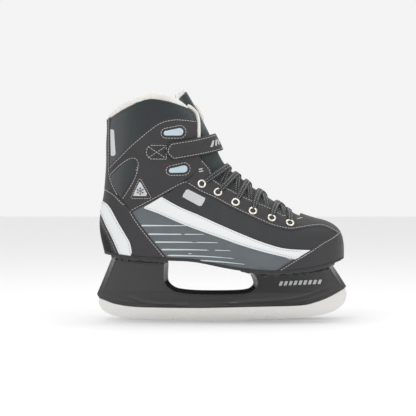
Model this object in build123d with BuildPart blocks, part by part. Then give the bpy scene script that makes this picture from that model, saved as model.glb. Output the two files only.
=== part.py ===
"""Ice skate: a soft recreational boot on a plastic holder with a steel blade.

Millimetres, +Z up, +X to the toe, +Y to the medial side, origin on the ice under the middle of the skate.
"""
from build123d import *

import os
from math import cos, pi, radians, sin

os.makedirs("parts", exist_ok=True)

# Overall sizes. The side view is drawn at the pattern size and graded to these, as a shoe pattern is.
boot_length = 279.0
boot_height = 270.3
boot_width = 102.0
pattern_length = 279.0
pattern_height = 270.3
pattern_width = 102.0

# Blade and holder
steel_thickness = 3.0
tang_height = 9.0
rail_half_width = 4.6
flange_half_width = 35.0
holder_wall = 3.2
rivet_diameter = 4.0
rivet_head = 8.0
rivet_head_height = 1.2

# Sole
outsole_thickness = 2.8
board_thickness = 2.4
shank_width = 14.0
shank_thickness = 1.2
footbed_thickness = 4.0

# Walls of the upper, from the outside in
overlay_thickness = 1.2
trim_thickness = 0.7
quarter_thickness = 1.6
stiffener_thickness = 1.4
lining_thickness = 5.2
tongue_thickness = 4.6
tongue_half_width = 23.0

# Fastenings
eyelet_diameter = 10.0
eyelet_bore = 5.6
eyelet_barrel = 7.0
eyelet_rim = 0.8
lace_width = 7.5
lace_thickness = 1.5
strap_width = 20.0
strap_thickness = 2.0
strap_slope = 10.0
loop_thickness = 1.0
hook_thickness = 0.8
anchor_thickness = 1.6

# Clearances
layer_gap = 0.1
strap_gap = 0.3
tongue_gap = 0.5
fold_gap = 2.0

grade_x = boot_length / pattern_length
grade_y = boot_width / pattern_width
grade_z = boot_height / pattern_height
reach = 90.0

# The last: closed sections in planes that fan round the instep, from upright at the toe to level at the
# collar.
fan_x = 40.0
fan_z = 215.0
toe_start = 85.0
toe_run = 54.8
# x and z of the plane's fan point, its turn, then near, widest and far reach, half width, shift, roundings
last_sections = [
    (139.5, fan_z, 0, 124.0, 128, 158, 7.5, 6.0, 2.3, 5),
    (138.2, fan_z, 0, 118.0, 128, 160, 15.0, 5.8, 2.3, 5),
    (135.5, fan_z, 0, 112.0, 128, 161, 22.5, 5.5, 2.3, 5),
    (130.0, fan_z, 0, 106.0, 129, 163, 31.6, 5.0, 2.3, 5),
    (120.0, fan_z, 0, 101.0, 131, 167, 40.5, 4.0, 2.3, 5),
    (105.0, fan_z, 0, 97.0, 135, 172, 46.9, 2.5, 2.3, 5),
    (85.0, fan_z, 0, 89.5, 139, 176, 49.5, 1.0, 2.1, 5),
    (62.0, fan_z, 0, 76.0, 141, 179, 51.0, 0.0, 1.9, 5),
    (40.0, fan_z, 0, 61.7, 141, 182, 50.0, -1.0, 1.8, 5),
    (fan_x, fan_z, 15, 53.0, 140, 181, 46.0, -2.5, 1.75, 5),
    (fan_x, fan_z, 30, 50.0, 140, 194, 40.5, -2.5, 1.8, 4.5),
    (fan_x, fan_z, 42, 48.7, 140, 236, 38.0, -1.0, 1.9, 3.4),
    (fan_x, fan_z, 52, 47.8, 140, 221, 37.0, 0, 2.0, 2.6),
    (fan_x, fan_z, 60, 47.2, 134, 208, 37.3, 0, 2.1, 2.4),
    (fan_x, fan_z, 69, 47.0, 126, 187.5, 38.5, 0, 2.2, 2.2),
    (fan_x, fan_z, 79, 48.5, 118, 175.6, 40.5, 0, 2.3, 2.2),
    (fan_x, fan_z, 90, 52.0, 112, 171.7, 42.5, 0, 2.4, 2.2),
    (fan_x, 235, 90, 62.0, 117, 171.7, 44.5, 0, 2.5, 2.3),
    (fan_x, 255, 90, 73.0, 122, 171.7, 46.0, 0, 2.5, 2.3),
    (fan_x, 280, 90, 88.0, 130, 172.5, 46.5, 0, 2.5, 2.3),
]
section_points = 16
# the sections where one loft ends and the next one starts
loft_joins = [0, 8, 13, len(last_sections) - 1]


def section_face(section, thickness):
    """One section of the last, grown by a thickness."""
    x, z, turn, near, widest, far, half, shift, crown, base = section
    turn = radians(turn)
    forward = max(0.0, (x - toe_start) / toe_run) if turn == 0 else 0.0
    points = []
    for i in range(section_points):
        angle = 2 * pi * i / section_points
        rounding = crown if cos(angle) >= 0 else base
        end = near - thickness if cos(angle) >= 0 else far + thickness
        along = widest + (end - widest) * abs(cos(angle)) ** (2 / rounding)
        side = 1 if sin(angle) >= 0 else -1
        across = shift + side * (half + thickness) * abs(sin(angle)) ** (2 / rounding)
        points.append(
            Vector(
                (x + thickness * forward - along * sin(turn)) * grade_x,
                across * grade_y,
                (z - along * cos(turn)) * grade_z,
            )
        )
    return Face(Wire.make_polygon(points, close=True))


def last_body(thickness):
    """The closed body of the boot, grown by a thickness: negative values give what is inside."""
    faces = [section_face(section, thickness) for section in last_sections]
    body = None
    for first, final in zip(loft_joins, loft_joins[1:]):
        span = loft(faces[first : final + 1], ruled=True, mode=Mode.PRIVATE)
        body = span if body is None else body + span
    return body


def graded(points):
    return [(x * grade_x, z * grade_z) for x, z in points]


def outline(*runs):
    """A closed side view: a run of two points is straight and a longer one is a smooth curve."""
    with BuildSketch(Plane.XZ) as sketch:
        with BuildLine():
            for run in runs:
                points = graded(run)
                if len(points) == 2:
                    Line(*points)
                else:
                    Spline(*points)
            if runs[0][0] != runs[-1][-1]:
                Line(graded([runs[-1][-1]])[0], graded([runs[0][0]])[0])
        make_face()
    return sketch.sketch


def polygon(*points):
    with BuildSketch(Plane.XZ) as sketch:
        with BuildLine():
            Polyline(*graded(points), close=True)
        make_face()
    return sketch.sketch


# Side view of the sole: the underside of the outsole, from the heel to the toe
sole_points = [
    (-150, 78.8), (-128, 76.6), (-105, 73.6), (-83, 71.9), (-60, 70.8), (-41, 70.2), (-25, 68.4), (-2, 63.8),
    (18, 60.3), (39, 58), (62, 56.8), (91, 59.2), (114, 63.2), (131.7, 68.4), (150, 75.5),
]


def sole_line(rise):
    return [(x, z + rise / grade_z) for x, z in sole_points]


def sole_band(low, high):
    """Side view of a layer that follows the sole, between two heights above its underside."""
    lower = sole_line(low)
    upper = sole_line(high)[::-1]
    return outline(lower, [lower[-1], upper[0]], upper, [upper[-1], lower[0]])


# Seams of the upper in side view
collar_edge = [
    (-140, 228), (-127, 235.5), (-117.7, 241.3), (-106, 247), (-94.5, 252.3), (-80, 255.4), (-65.5, 253.5),
    (-54, 251), (-42, 247), (-34, 243.6), (-29.6, 237.8), (-28.4, 230),
]
throat_edge = [
    (-28.4, 213), (-25, 190), (-13.3, 176), (-7.5, 163),
    (16.8, 149), (35.4, 140), (55, 132), (71, 123),
]
throat_front = (90, 116)
above_throat = (90, 140)

upper_floor = outsole_thickness + layer_gap
upper_lower_line = sole_line(upper_floor)
upper_side = outline(
    upper_lower_line,
    [upper_lower_line[-1], (150, 140)],
    [(150, 140), above_throat],
    [above_throat, throat_front],
    [throat_front, throat_edge[-1]],
    throat_edge[::-1],
    [throat_edge[0], collar_edge[-1]],
    collar_edge[::-1],
    [collar_edge[0], (-150, 228)],
    [(-150, 228), upper_lower_line[0]],
)

eyestay_low = [
    (-42, 159), (-25, 148.5), (-7.5, 140.4), (10, 131), (27, 123), (44.7, 114.8), (56, 110), (68, 106.7),
    (79.5, 105), (97, 107.3), (114.3, 108),
]
eyestay_side = outline(
    eyestay_low,
    [(114.3, 108), (114.3, 150)],
    [(114.3, 150), (-20, 195)],
    [(-20, 195), (-25, 190)],
    [(-25, 190), (-28, 174)],
    [(-28, 174), (-42, 159)],
)
ankle_top = [
    (-126, 182), (-117.7, 190), (-106, 202), (-94.5, 212), (-83, 221.6), (-71, 229.7), (-59.7, 233),
    (-48, 233.7), (-28.4, 231.4),
]
ankle_low = [(-102.7, 126.4), (-83, 137), (-68, 145), (-54, 153), (-42, 159)]
backstay_front = [(-127, 240), (-127.4, 205), (-127.6, 180), (-126, 164.7), (-120, 150.8), (-112, 137)]
heel_right = [(-102.7, 126.4), (-94.5, 113.7), (-83, 98.6), (-71.3, 84.7), (-56, 66)]
band_top = [
    (-150, 142), (-136.3, 138), (-128.2, 132.2), (-117.7, 113.7),
    (-109.6, 99.8), (-103.8, 88.2), (-101.5, 66),
]
band_low = [(-150, 128), (-139.2, 124), (-131.7, 109), (-124.7, 95), (-113, 66)]
stripe_top = [
    (-69, 143.8), (-48, 132.2), (-25, 122.4), (-2, 112),
    (21.5, 102), (44.7, 92.8), (68, 85.8), (104, 83),
]
stripe_low = [
    (-90.5, 131), (-71.3, 124), (-48, 113.7), (-25, 105),
    (-2, 97), (21.5, 88.7), (44.7, 81.8), (76, 70),
]
toe_edge = [
    (135.7, 104.5), (126, 98), (114.3, 92.2), (102.7, 84.7),
    (91, 77.7), (79.5, 70.8), (68, 63.8), (54, 54),
]
inset_outline = [
    (-126, 168), (-117.7, 177.5), (-106, 187.3), (-99, 189.7), (-94.5, 185.6), (-95, 176), (-99, 164.7),
    (-106, 153), (-113, 142.7), (-122.4, 154.3),
]

toe_side = outline(toe_edge, [(54, 54), (150, 54)], [(150, 54), (150, 104.5)], [(150, 104.5), (135.7, 104.5)])
stripe_side = outline(stripe_top, [(104, 83), (76, 70)], stripe_low[::-1], [stripe_low[0], stripe_top[0]])
band_side = outline(band_top, [(-101.5, 66), (-113, 66)], band_low[::-1], [(-150, 128), (-150, 142)])
patch_side = outline(band_low, [(-113, 66), (-150, 66)], [(-150, 66), (-150, 128)])
heel_side = outline(
    heel_right, [(-56, 66), (-101.5, 66)], band_top[::-1], [(-150, 142), (-150, 156)],
    [(-150, 156), (-133, 153)],
    [(-133, 153), (-122, 148.5)], [(-122, 148.5), (-112, 137)], [(-112, 137), (-102.7, 126.4)],
)
backstay_side = outline(
    backstay_front, [(-112, 137), (-122, 148.5)], [(-122, 148.5), (-150, 156)],
    [(-150, 156), (-150, 240)], [(-150, 240), (-127, 240)],
)
ankle_side = outline(
    ankle_top, [(-28.4, 231.4), (-28.4, 213)], [(-28.4, 213), (-25, 190)], [(-25, 190), (-28, 174)],
    [(-28, 174), (-42, 159)], ankle_low[::-1], [(-102.7, 126.4), (-126, 150)], [(-126, 150), (-126, 182)],
)
inset_side = outline(inset_outline + [inset_outline[0]])
panel_side = outline(
    stripe_top[::-1], [stripe_top[0], (-54, 153)], [(-54, 153), (-40, 200)], [(-40, 200), (150, 150)],
    [(150, 150), (150, 83)], [(150, 83), (104, 83)],
)

quarter_inside = -quarter_thickness
liner_outside = quarter_inside - layer_gap
stiffener_inside = liner_outside - stiffener_thickness
tongue_middle = liner_outside - tongue_thickness / 2
tongue_inside = liner_outside - tongue_thickness
lining_inside = liner_outside - lining_thickness
trim_inside = overlay_thickness + layer_gap
trim_top = trim_inside + trim_thickness
loop_top = trim_inside + loop_thickness
hook_inside = loop_top + strap_gap
strap_inside = hook_inside + hook_thickness + layer_gap
strap_outside = strap_inside + strap_thickness
board_bottom = outsole_thickness + layer_gap
board_top = board_bottom + board_thickness
footbed_bottom = board_top + layer_gap

last_outer = last_body(overlay_thickness)
last_cement = last_body(layer_gap)
last_quarter = last_body(0)
last_inside = last_body(quarter_inside)
last_liner = last_body(liner_outside)
last_foot = last_body(lining_inside)
last_trim_inside = last_body(trim_inside)


def prism(sketch, side=0):
    """A side view carried across the boot: side is -1 lateral, 1 medial or 0 both."""
    if side == 0:
        return extrude(sketch, amount=reach, both=True, mode=Mode.PRIVATE)
    return extrude(sketch, amount=-side * reach, mode=Mode.PRIVATE)


def wall(outside, inside, region):
    """The wall between two bodies of the last, inside a region."""
    return (outside & region) - inside


def finish(piece, name):
    """Label a sub-part and write its file."""
    piece.part.label = name
    export_step(piece.part, f"parts/{name}.step")


sides = {"lateral": -1, "medial": 1}

# ---------------------------------------------------------------- eyelets
eyelet_places = [(-23.2, 158.3), (-4.6, 148.5), (15.7, 136.9), (35.4, 127), (56.8, 118.9), (77.7, 113.1)]


def surface_plane(body, x, z, side):
    """The plane on the outside of a body at a place in the side view: side is -1 lateral or 1 medial."""
    line = Axis((x * grade_x, 0, z * grade_z), (0, side, 0))
    hits = [hit for hit in body.find_intersection_points(line) if hit[0].Y * side > 0]
    point, normal = max(hits, key=lambda hit: hit[0].Y * side)
    if normal.Y * side < 0:
        normal = -normal
    return Plane(origin=point, z_dir=normal)


lateral_eyelets = [surface_plane(last_outer, x, z, -1) for x, z in eyelet_places]
medial_eyelets = [surface_plane(last_outer, x, z, 1) for x, z in eyelet_places]
eyelet_planes = lateral_eyelets + medial_eyelets
barrel_depth = overlay_thickness + quarter_thickness

with BuildPart() as eyelet_holes:
    for plane in eyelet_planes:
        with BuildSketch(plane.offset(-barrel_depth - 2)):
            Circle(eyelet_barrel / 2)
        extrude(amount=barrel_depth + 3)

with BuildPart() as eyelets:
    for plane in eyelet_planes:
        with BuildSketch(plane):
            Circle(eyelet_diameter / 2)
            Circle(eyelet_bore / 2, mode=Mode.SUBTRACT)
        extrude(amount=eyelet_rim)
        with BuildSketch(plane):
            Circle(eyelet_barrel / 2)
            Circle(eyelet_bore / 2, mode=Mode.SUBTRACT)
        extrude(amount=-barrel_depth)
finish(eyelets, "eyelets")

# ---------------------------------------------------------------- leather overlays
single_overlays = {
    "toe_cap": prism(toe_side),
    "vamp": (
        prism(panel_side) - prism(toe_side) - prism(stripe_side)
        - prism(eyestay_side) - prism(ankle_side)
    ),
    "heel_band": prism(band_side),
    "heel_patch": prism(patch_side),
    "backstay": prism(backstay_side) - prism(inset_side) - prism(heel_side),
}
for name, region in single_overlays.items():
    with BuildPart() as overlay:
        add(wall(last_outer, last_cement, region & prism(upper_side)))
    finish(overlay, name)

paired_overlays = {
    "eyestay": prism(eyestay_side) - prism(ankle_side),
    "ankle_panel": prism(ankle_side) - prism(backstay_side) - prism(inset_side) - prism(heel_side),
    "heel_panel": prism(heel_side) - prism(stripe_side),
    "side_stripe": prism(stripe_side) - prism(toe_side),
    "ankle_inset": prism(inset_side),
}
for name, region in paired_overlays.items():
    for hand, side in sides.items():
        with BuildPart() as overlay:
            add(wall(last_outer, last_cement, region & prism(upper_side, side)))
            if name == "eyestay":
                add(eyelet_holes.part, mode=Mode.SUBTRACT)
                add(eyelets.part, mode=Mode.SUBTRACT)
        finish(overlay, f"{name}_{hand}")

# ---------------------------------------------------------------- base of the upper
collar_side = outline(
    [(-150, 156), (-126, 150)], [(-126, 150), (-102.7, 126.4)], ankle_low, [(-42, 159), (-28, 174)],
    [(-28, 174), (-20, 195)], [(-20, 195), (0, 300)], [(0, 300), (-150, 300)], [(-150, 300), (-150, 156)],
)
# room for the tongue top to fold forward between the collar's front edges
fold_room_floor = 215
fold_room_length = 60
with BuildPart() as fold_room:
    with BuildSketch(Plane.XY.offset(fold_room_floor * grade_z)):
        with Locations((-fold_room_length / 2 * grade_x, 0)):
            Rectangle(fold_room_length * grade_x, 2 * (tongue_half_width + tongue_gap))
    extrude(amount=reach)

base_regions = {
    "collar_textile": prism(collar_side) - fold_room.part,
    "quarter": prism(upper_side) - prism(collar_side),
}
for name, region in base_regions.items():
    for hand, side in sides.items():
        with BuildPart() as base:
            add(wall(last_quarter, last_inside, region & prism(upper_side, side)))
            add(eyelet_holes.part, mode=Mode.SUBTRACT)
        finish(base, f"{name}_{hand}")

# ---------------------------------------------------------------- trims sewn on the overlays
last_trim = last_body(trim_top)
upper_reflector = polygon((-67, 213.5), (-44.5, 214.5), (-44.5, 222.7), (-66, 217.5))
lower_reflector = polygon((-61.5, 172.5), (-39.6, 170.5), (-40.5, 181), (-60.5, 176.5))
for hand, side in sides.items():
    with BuildPart() as reflectors:
        add(wall(last_trim, last_trim_inside, prism(upper_reflector, side)))
        add(wall(last_trim, last_trim_inside, prism(lower_reflector, side)))
    finish(reflectors, f"reflectors_{hand}")

badge_side = polygon((-93.4, 164.7), (-103.8, 142), (-80.6, 142))
tag_side = polygon((-40, 157), (-18, 145), (-23.8, 135), (-45.8, 147))
for name, sketch in {"badge": badge_side, "side_tag": tag_side}.items():
    with BuildPart() as trim:
        add(wall(last_trim, last_trim_inside, prism(sketch, -1)))
    finish(trim, name)

loop_side = polygon((-87.6, 185.5), (-41, 185.5), (-41, 204.5), (-87.6, 204.5))
with BuildPart() as loop_patch:
    add(wall(last_body(loop_top), last_trim_inside, prism(loop_side, -1)))
finish(loop_patch, "loop_patch")

# ---------------------------------------------------------------- sole
def sole_layer(body, low, high):
    return body & prism(sole_band(low, high))


def sole_height(x):
    """Height of the outsole's underside above the ice."""
    for (x0, z0), (x1, z1) in zip(sole_points, sole_points[1:]):
        if x0 <= x <= x1:
            return (z0 + (z1 - z0) * (x - x0) / (x1 - x0)) * grade_z
    raise ValueError("outside the sole")


front_rivet_places = [(45, 28), (70, 29), (95, 28), (116, 20)]
rear_rivet_places = [(-70, 21), (-93, 22), (-114, 15)]
front_flange_floor = 54.5
rear_flange_floor = 67.0


def rivet_group(places, floor):
    """Rivets from the underside of a flange up into the lasting board."""
    with BuildPart() as group:
        for x, y in places:
            for side in (-1, 1):
                seat = Plane((x * grade_x, side * y * grade_y, floor * grade_z))
                with BuildSketch(seat):
                    Circle(rivet_head / 2)
                extrude(amount=-rivet_head_height)
                with BuildSketch(seat):
                    Circle(rivet_diameter / 2)
                extrude(amount=sole_height(x) + board_top - 0.6 - floor * grade_z)
    return group


front_rivets = rivet_group(front_rivet_places, front_flange_floor)
finish(front_rivets, "front_rivets")
rear_rivets = rivet_group(rear_rivet_places, rear_flange_floor)
finish(rear_rivets, "rear_rivets")
all_rivets = front_rivets.part + rear_rivets.part

with BuildPart() as outsole:
    add(sole_layer(last_outer, 0, outsole_thickness) - all_rivets)
finish(outsole, "outsole")

with BuildPart() as lasting_board:
    add(sole_layer(last_liner, board_bottom, board_top) - all_rivets)
finish(lasting_board, "lasting_board")

with BuildPart() as shank:
    add(sole_layer(last_foot, footbed_bottom, footbed_bottom + shank_thickness))
    with BuildSketch(Plane.XY):
        with Locations((-22 * grade_x, 0)):
            Rectangle(96 * grade_x, shank_width)
    extrude(amount=150, mode=Mode.INTERSECT)
finish(shank, "shank")

with BuildPart() as footbed:
    add(sole_layer(last_foot, footbed_bottom, footbed_bottom + footbed_thickness) - shank.part)
finish(footbed, "footbed")

# ---------------------------------------------------------------- blade and holder
steel_bottom = [
    (-142, 25.5), (-141.5, 17.4), (-137.5, 11.6), (-127, 5.8), (-112, 2.3), (-83, 0.6), (-48, 0), (27, 0),
    (79.5, 1.7), (108.5, 4.6), (126, 8.7), (137.5, 15), (143.3, 22), (145, 29), (143.3, 37.1),
]
holder_edge = [
    (-142, 25.5), (-133, 22), (-123.5, 18.6), (-106, 15.7), (-83, 14.5), (-25, 13.9), (33, 15.1),
    (79.5, 16.2), (97, 17.4), (108.5, 20.3), (120, 24.4), (131.7, 30.2), (143.3, 37.1),
]
tang_edge = [(x, z + tang_height / grade_z) for x, z in holder_edge[2:-1]]
rear_heel = steel_bottom[:6]
runner = [(-83, 0.6), (-48, 0)]
toe_rise = steel_bottom[7:]
blade_side = outline(
    rear_heel, runner, [(-48, 0), (27, 0)], toe_rise, [(143.3, 37.1), holder_edge[-2]],
    [holder_edge[-2], tang_edge[-1]], tang_edge[::-1], [tang_edge[0], holder_edge[2]], holder_edge[2::-1],
)
with BuildPart() as blade:
    extrude(blade_side, amount=steel_thickness / 2, both=True)
finish(blade, "blade")

window_rear = [(-60, 71), (-61.5, 63.8), (-62, 52.2), (-61, 45.2), (-55, 39.4), (-46, 36.5), (-25, 34.8)]
window_front = [(10, 34.8), (27.3, 36), (34.2, 38.9), (36.8, 44), (33, 53.4), (28.4, 56.3), (21.5, 58)]
rear_sole = [point for point in sole_points if -128 <= point[0] <= -60]
front_sole = [(21.5, 59.8)] + [point for point in sole_points if 39 <= point[0] <= 131.7]
holder_side = outline(
    holder_edge, [(143.3, 37.1), (144.4, 39.4)], [(144.4, 39.4), (129, 65)], [(129, 65), (131.7, 68.4)],
    front_sole[::-1], [(21.5, 59.8), (21.5, 58)], window_front[::-1], [(10, 34.8), (-25, 34.8)],
    window_rear[::-1], [(-60, 71), (-60, 70.8)], rear_sole[::-1], [(-128, 76.6), (-126, 73.5)],
    [(-126, 73.5), (-144.4, 30.2)], [(-144.4, 30.2), (-142, 25.5)],
)


def tower_view(floor, inset=0.0, bottom=10.0):
    """Half of the holder seen from the front, as far as its flange, drawn from the middle outwards."""
    steps = [
        (rail_half_width, bottom), (rail_half_width, 20), (8, 34), (13, (34 + floor) / 2), (22, floor - 1),
        (flange_half_width, floor), (flange_half_width, 84),
    ]
    if inset:
        steps = [
            (rail_half_width - inset / 2, bottom), (8 - inset * 0.6, 40), (13 - inset, (40 + floor) / 2),
            (18 - inset, 84),
        ]
    points = [(width, z * grade_z) for width, z in steps]
    with BuildSketch(Plane.YZ) as view:
        with BuildLine():
            Polyline(*points, *[(-width, z) for width, z in points[::-1]], close=True)
        make_face()
    return view.sketch


def carried(view, start, end):
    """A front view carried along the skate between two stations."""
    return Pos(start * grade_x, 0, 0) * extrude(view, amount=(end - start) * grade_x, mode=Mode.PRIVATE)


plan_half = [
    (139, 0), (136, 12), (130, 22), (118, 31), (100, 35), (60, 37), (20, 34), (-40, 26),
    (-110, 26), (-126, 19),
    (-134, 9), (-138, 0),
]
with BuildPart() as plan_waste:
    with BuildSketch(Plane.XY.offset(50 * grade_z)):
        Rectangle(320 * grade_x, 120)
        with BuildLine():
            Polyline(
                *[(x * grade_x, y * grade_y) for x, y in plan_half],
                *[(x * grade_x, -y * grade_y) for x, y in plan_half[-2:0:-1]],
                close=True,
            )
        make_face(mode=Mode.SUBTRACT)
    extrude(amount=40 * grade_z)

rear_hollow_side = polygon((-120, 90), (-120, 72), (-134, 38), (-68, 38), (-68, 90))
front_hollow_side = polygon((120, 90), (122, 62), (134, 42), (44, 38), (42, 50), (36, 62), (36, 90))
with BuildPart() as holder:
    add(prism(holder_side))
    add(
        carried(tower_view(rear_flange_floor), -150, -12) + carried(tower_view(front_flange_floor), -12, 150),
        mode=Mode.INTERSECT,
    )
    add(plan_waste.part, mode=Mode.SUBTRACT)
    add(
        prism(rear_hollow_side) & carried(tower_view(rear_flange_floor, holder_wall, 38), -150, -12),
        mode=Mode.SUBTRACT,
    )
    add(
        prism(front_hollow_side) & carried(tower_view(front_flange_floor, holder_wall, 38), -12, 150),
        mode=Mode.SUBTRACT,
    )
    add(blade.part, mode=Mode.SUBTRACT)
    add(all_rivets, mode=Mode.SUBTRACT)
    add(outsole.part, mode=Mode.SUBTRACT)
finish(holder, "holder")

# ---------------------------------------------------------------- tongue, split at its fold
fold_height = 221.0
tongue_top_height = 265.6
tongue_shoulder = 249.0
tongue_side = polygon(
    (100, 80), (100, 140), (30, 200), (10, 300), (-80, 300), (-62, 262), (-50, 236), (-45, 200),
    (-20, 140), (40, 90)
)


def tongue_view(half_width, top, shoulder, low):
    """Front view of the tongue: straight sides and a rounded top."""
    with BuildSketch(Plane.YZ) as view:
        with BuildLine():
            Line((-half_width, low * grade_z), (half_width, low * grade_z))
            Line((half_width, low * grade_z), (half_width, shoulder * grade_z))
            ThreePointArc(
                (half_width, shoulder * grade_z), (0, top * grade_z), (-half_width, shoulder * grade_z)
            )
            Line((-half_width, shoulder * grade_z), (-half_width, low * grade_z))
        make_face()
    return extrude(view.sketch, amount=200, both=True, mode=Mode.PRIVATE)


below_fold = Plane.XY.offset(fold_height * grade_z - fold_gap / 2)
above_fold = Plane.XY.offset(fold_height * grade_z + fold_gap / 2)
last_tongue_middle = last_body(tongue_middle)
tongue_layers = {
    "tongue": (last_liner, last_tongue_middle, tongue_top_height, tongue_shoulder),
    "tongue_fleece": (
        last_body(tongue_middle - layer_gap), last_body(tongue_inside), boot_height / grade_z,
        tongue_shoulder + 4
    ),
}
for name, (outside, inside, top, shoulder) in tongue_layers.items():
    region = prism(tongue_side) & tongue_view(tongue_half_width, top, shoulder, 60)
    with BuildPart() as lower_tongue:
        add(wall(outside, inside, split(region, bisect_by=below_fold, keep=Keep.BOTTOM, mode=Mode.PRIVATE)))
    finish(lower_tongue, name)
    with BuildPart() as upper_tongue:
        add(wall(outside, inside, split(region, bisect_by=above_fold, keep=Keep.TOP, mode=Mode.PRIVATE)))
    finish(upper_tongue, name + "_top")

tongue_slot = prism(tongue_side) & tongue_view(tongue_half_width + tongue_gap, 320, 310, 60)

# ---------------------------------------------------------------- stiffeners, lining and collar trim
lining_top = [
    (-140, 236), (-129.3, 241.3), (-117.7, 249.4), (-106, 255.2), (-94.5, 259.3), (-83, 262.2),
    (-71.3, 263.3),
    (-62, 262.2), (-50, 257.5), (-40, 251), (-32, 242), (-26, 230),
]
lining_floor = sole_line(board_top)
lining_side = outline(
    lining_floor, [lining_floor[-1], (150, 140)], [(150, 140), above_throat], [above_throat, throat_front],
    [throat_front, throat_edge[-1]], throat_edge[::-1], [throat_edge[0], (-26, 230)], lining_top[::-1],
    [lining_top[0], (-150, 236)], [(-150, 236), lining_floor[0]],
)
counter_side = polygon((-160, 60), (-78, 60), (-86, 100), (-100, 130), (-160, 136))
puff_side = polygon((160, 40), (160, 125), (118, 125), (104, 40))
last_stiffener = last_body(stiffener_inside)
last_thin_liner = last_body(stiffener_inside - layer_gap)
lining_region = prism(lining_side) - tongue_slot
counter_region = prism(lining_side) & prism(counter_side)
puff_region = prism(lining_side) & prism(puff_side)

with BuildPart() as heel_counter:
    add(wall(last_liner, last_stiffener, counter_region))
finish(heel_counter, "heel_counter")

with BuildPart() as toe_puff:
    add(wall(last_liner, last_stiffener, puff_region))
finish(toe_puff, "toe_puff")

with BuildPart() as lining:
    add(wall(last_liner, last_foot, lining_region - prism(counter_side) - prism(puff_side)))
    add(wall(last_thin_liner, last_foot, counter_region))
    add(wall(last_thin_liner, last_foot, puff_region))
    add(eyelets.part, mode=Mode.SUBTRACT)
finish(lining, "lining")

trim_edge = [(-36.5, 246), (-29.6, 240.7), (-25, 234.3), (-23.8, 213)]
trim_inner = [(-36.5, 245), (-34, 243.6), (-29.6, 237.8), (-28.4, 230)]
trim_side = outline(
    trim_edge, [(-23.8, 213), (-28.4, 213)], [(-28.4, 213), (-28.4, 230)], trim_inner[::-1],
    [(-36.5, 245), (-36.5, 246)],
)
with BuildPart() as collar_trim:
    add(wall(last_outer, last_inside, prism(trim_side) - prism(upper_side) - tongue_slot))
finish(collar_trim, "collar_trim")

# ---------------------------------------------------------------- lace
instep_normal = Vector(0.617, 0, 0.787)


def lace_run(start, end):
    """A flat strip from one eyelet to another, carried through the lace's layer."""
    along = (end - start).normalized()
    upright = (instep_normal - along * instep_normal.dot(along)).normalized()
    middle = (start + end) * 0.5
    with BuildSketch(Plane(origin=middle, x_dir=along, z_dir=upright)) as strip:
        Rectangle((end - start).length - eyelet_diameter, lace_width)
    return extrude(strip.sketch, amount=40, both=True, mode=Mode.PRIVATE)


lateral_points = [plane.origin for plane in lateral_eyelets]
medial_points = [plane.origin for plane in medial_eyelets]
last_lace = last_body(overlay_thickness + lace_thickness)
with BuildPart() as lace:
    add(wall(last_lace, last_outer, lace_run(lateral_points[-1], medial_points[-1])))
    for low in range(len(eyelet_places) - 1):
        under = lace_run(lateral_points[low], medial_points[low + 1])
        over = lace_run(medial_points[low], lateral_points[low + 1])
        add(wall(last_lace, last_outer, under))
        add(wall(last_lace, last_outer, over - under))
finish(lace, "lace")

# ---------------------------------------------------------------- ankle strap
strap_middle = (-36.5, 200.5)
strap_end = -64.4
strap_corner = 5.5
anchor_front = -24.0
anchor_rear = -52.0
pivot_x = -30.0
slope = Plane(
    origin=(strap_middle[0] * grade_x, 0, strap_middle[1] * grade_z),
    x_dir=(cos(radians(strap_slope)), 0, sin(radians(strap_slope))),
    z_dir=(-sin(radians(strap_slope)), 0, cos(radians(strap_slope))),
)


def sloping_band(rear, front, width, end_point=0.0):
    """A side view band along the strap's slope, with a pointed rear end if asked, from stations in X."""
    rear = (rear - strap_middle[0]) * grade_x / cos(radians(strap_slope))
    front = (front - strap_middle[0]) * grade_x / cos(radians(strap_slope))
    half = width / 2
    points = [(rear + end_point, -half), (front, -half), (front, half), (rear + end_point, half)]
    if end_point:
        points.append((rear, half * 0.3))
        points.append((rear, -half * 0.3))
    side_plane = Plane(origin=slope.origin, x_dir=slope.x_dir, z_dir=(0, -1, 0))
    with BuildSketch(side_plane) as band:
        with BuildLine():
            Polyline(*points, close=True)
        make_face()
    return extrude(band.sketch, amount=reach, both=True, mode=Mode.PRIVATE)


with BuildPart() as medial_waste:
    with BuildSketch(Plane.XY):
        with Locations(((pivot_x - 100) * grade_x, 100)):
            Rectangle(200 * grade_x, 200)
    extrude(amount=300)

last_strap_inside = last_body(strap_inside)
with BuildPart() as strap:
    add(
        wall(
            last_body(strap_outside), last_strap_inside,
            sloping_band(strap_end, 40, strap_width, strap_corner) - medial_waste.part,
        )
    )
finish(strap, "strap")

with BuildPart() as lateral_half:
    with BuildSketch(Plane.XY):
        with Locations((0, -100)):
            Rectangle(400, 200)
    extrude(amount=300)

with BuildPart() as hook_patch:
    add(
        wall(
            last_body(strap_inside - layer_gap), last_body(hook_inside),
            sloping_band(strap_end + 3, -42, strap_width - 3) & lateral_half.part,
        )
    )
finish(hook_patch, "hook_patch")

with BuildPart() as strap_anchor:
    add(
        wall(
            last_body(trim_inside + anchor_thickness), last_trim_inside,
            sloping_band(anchor_rear, anchor_front, strap_width) - lateral_half.part,
        )
    )
finish(strap_anchor, "strap_anchor")

pivot = surface_plane(last_body((strap_inside + strap_outside) / 2), pivot_x, slope.origin.Z / grade_z, 1)
print("strap pivot", pivot.origin)
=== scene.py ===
"""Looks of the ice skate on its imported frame: panels, seams, fleece, laces, strap, holder and studio."""

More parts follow.
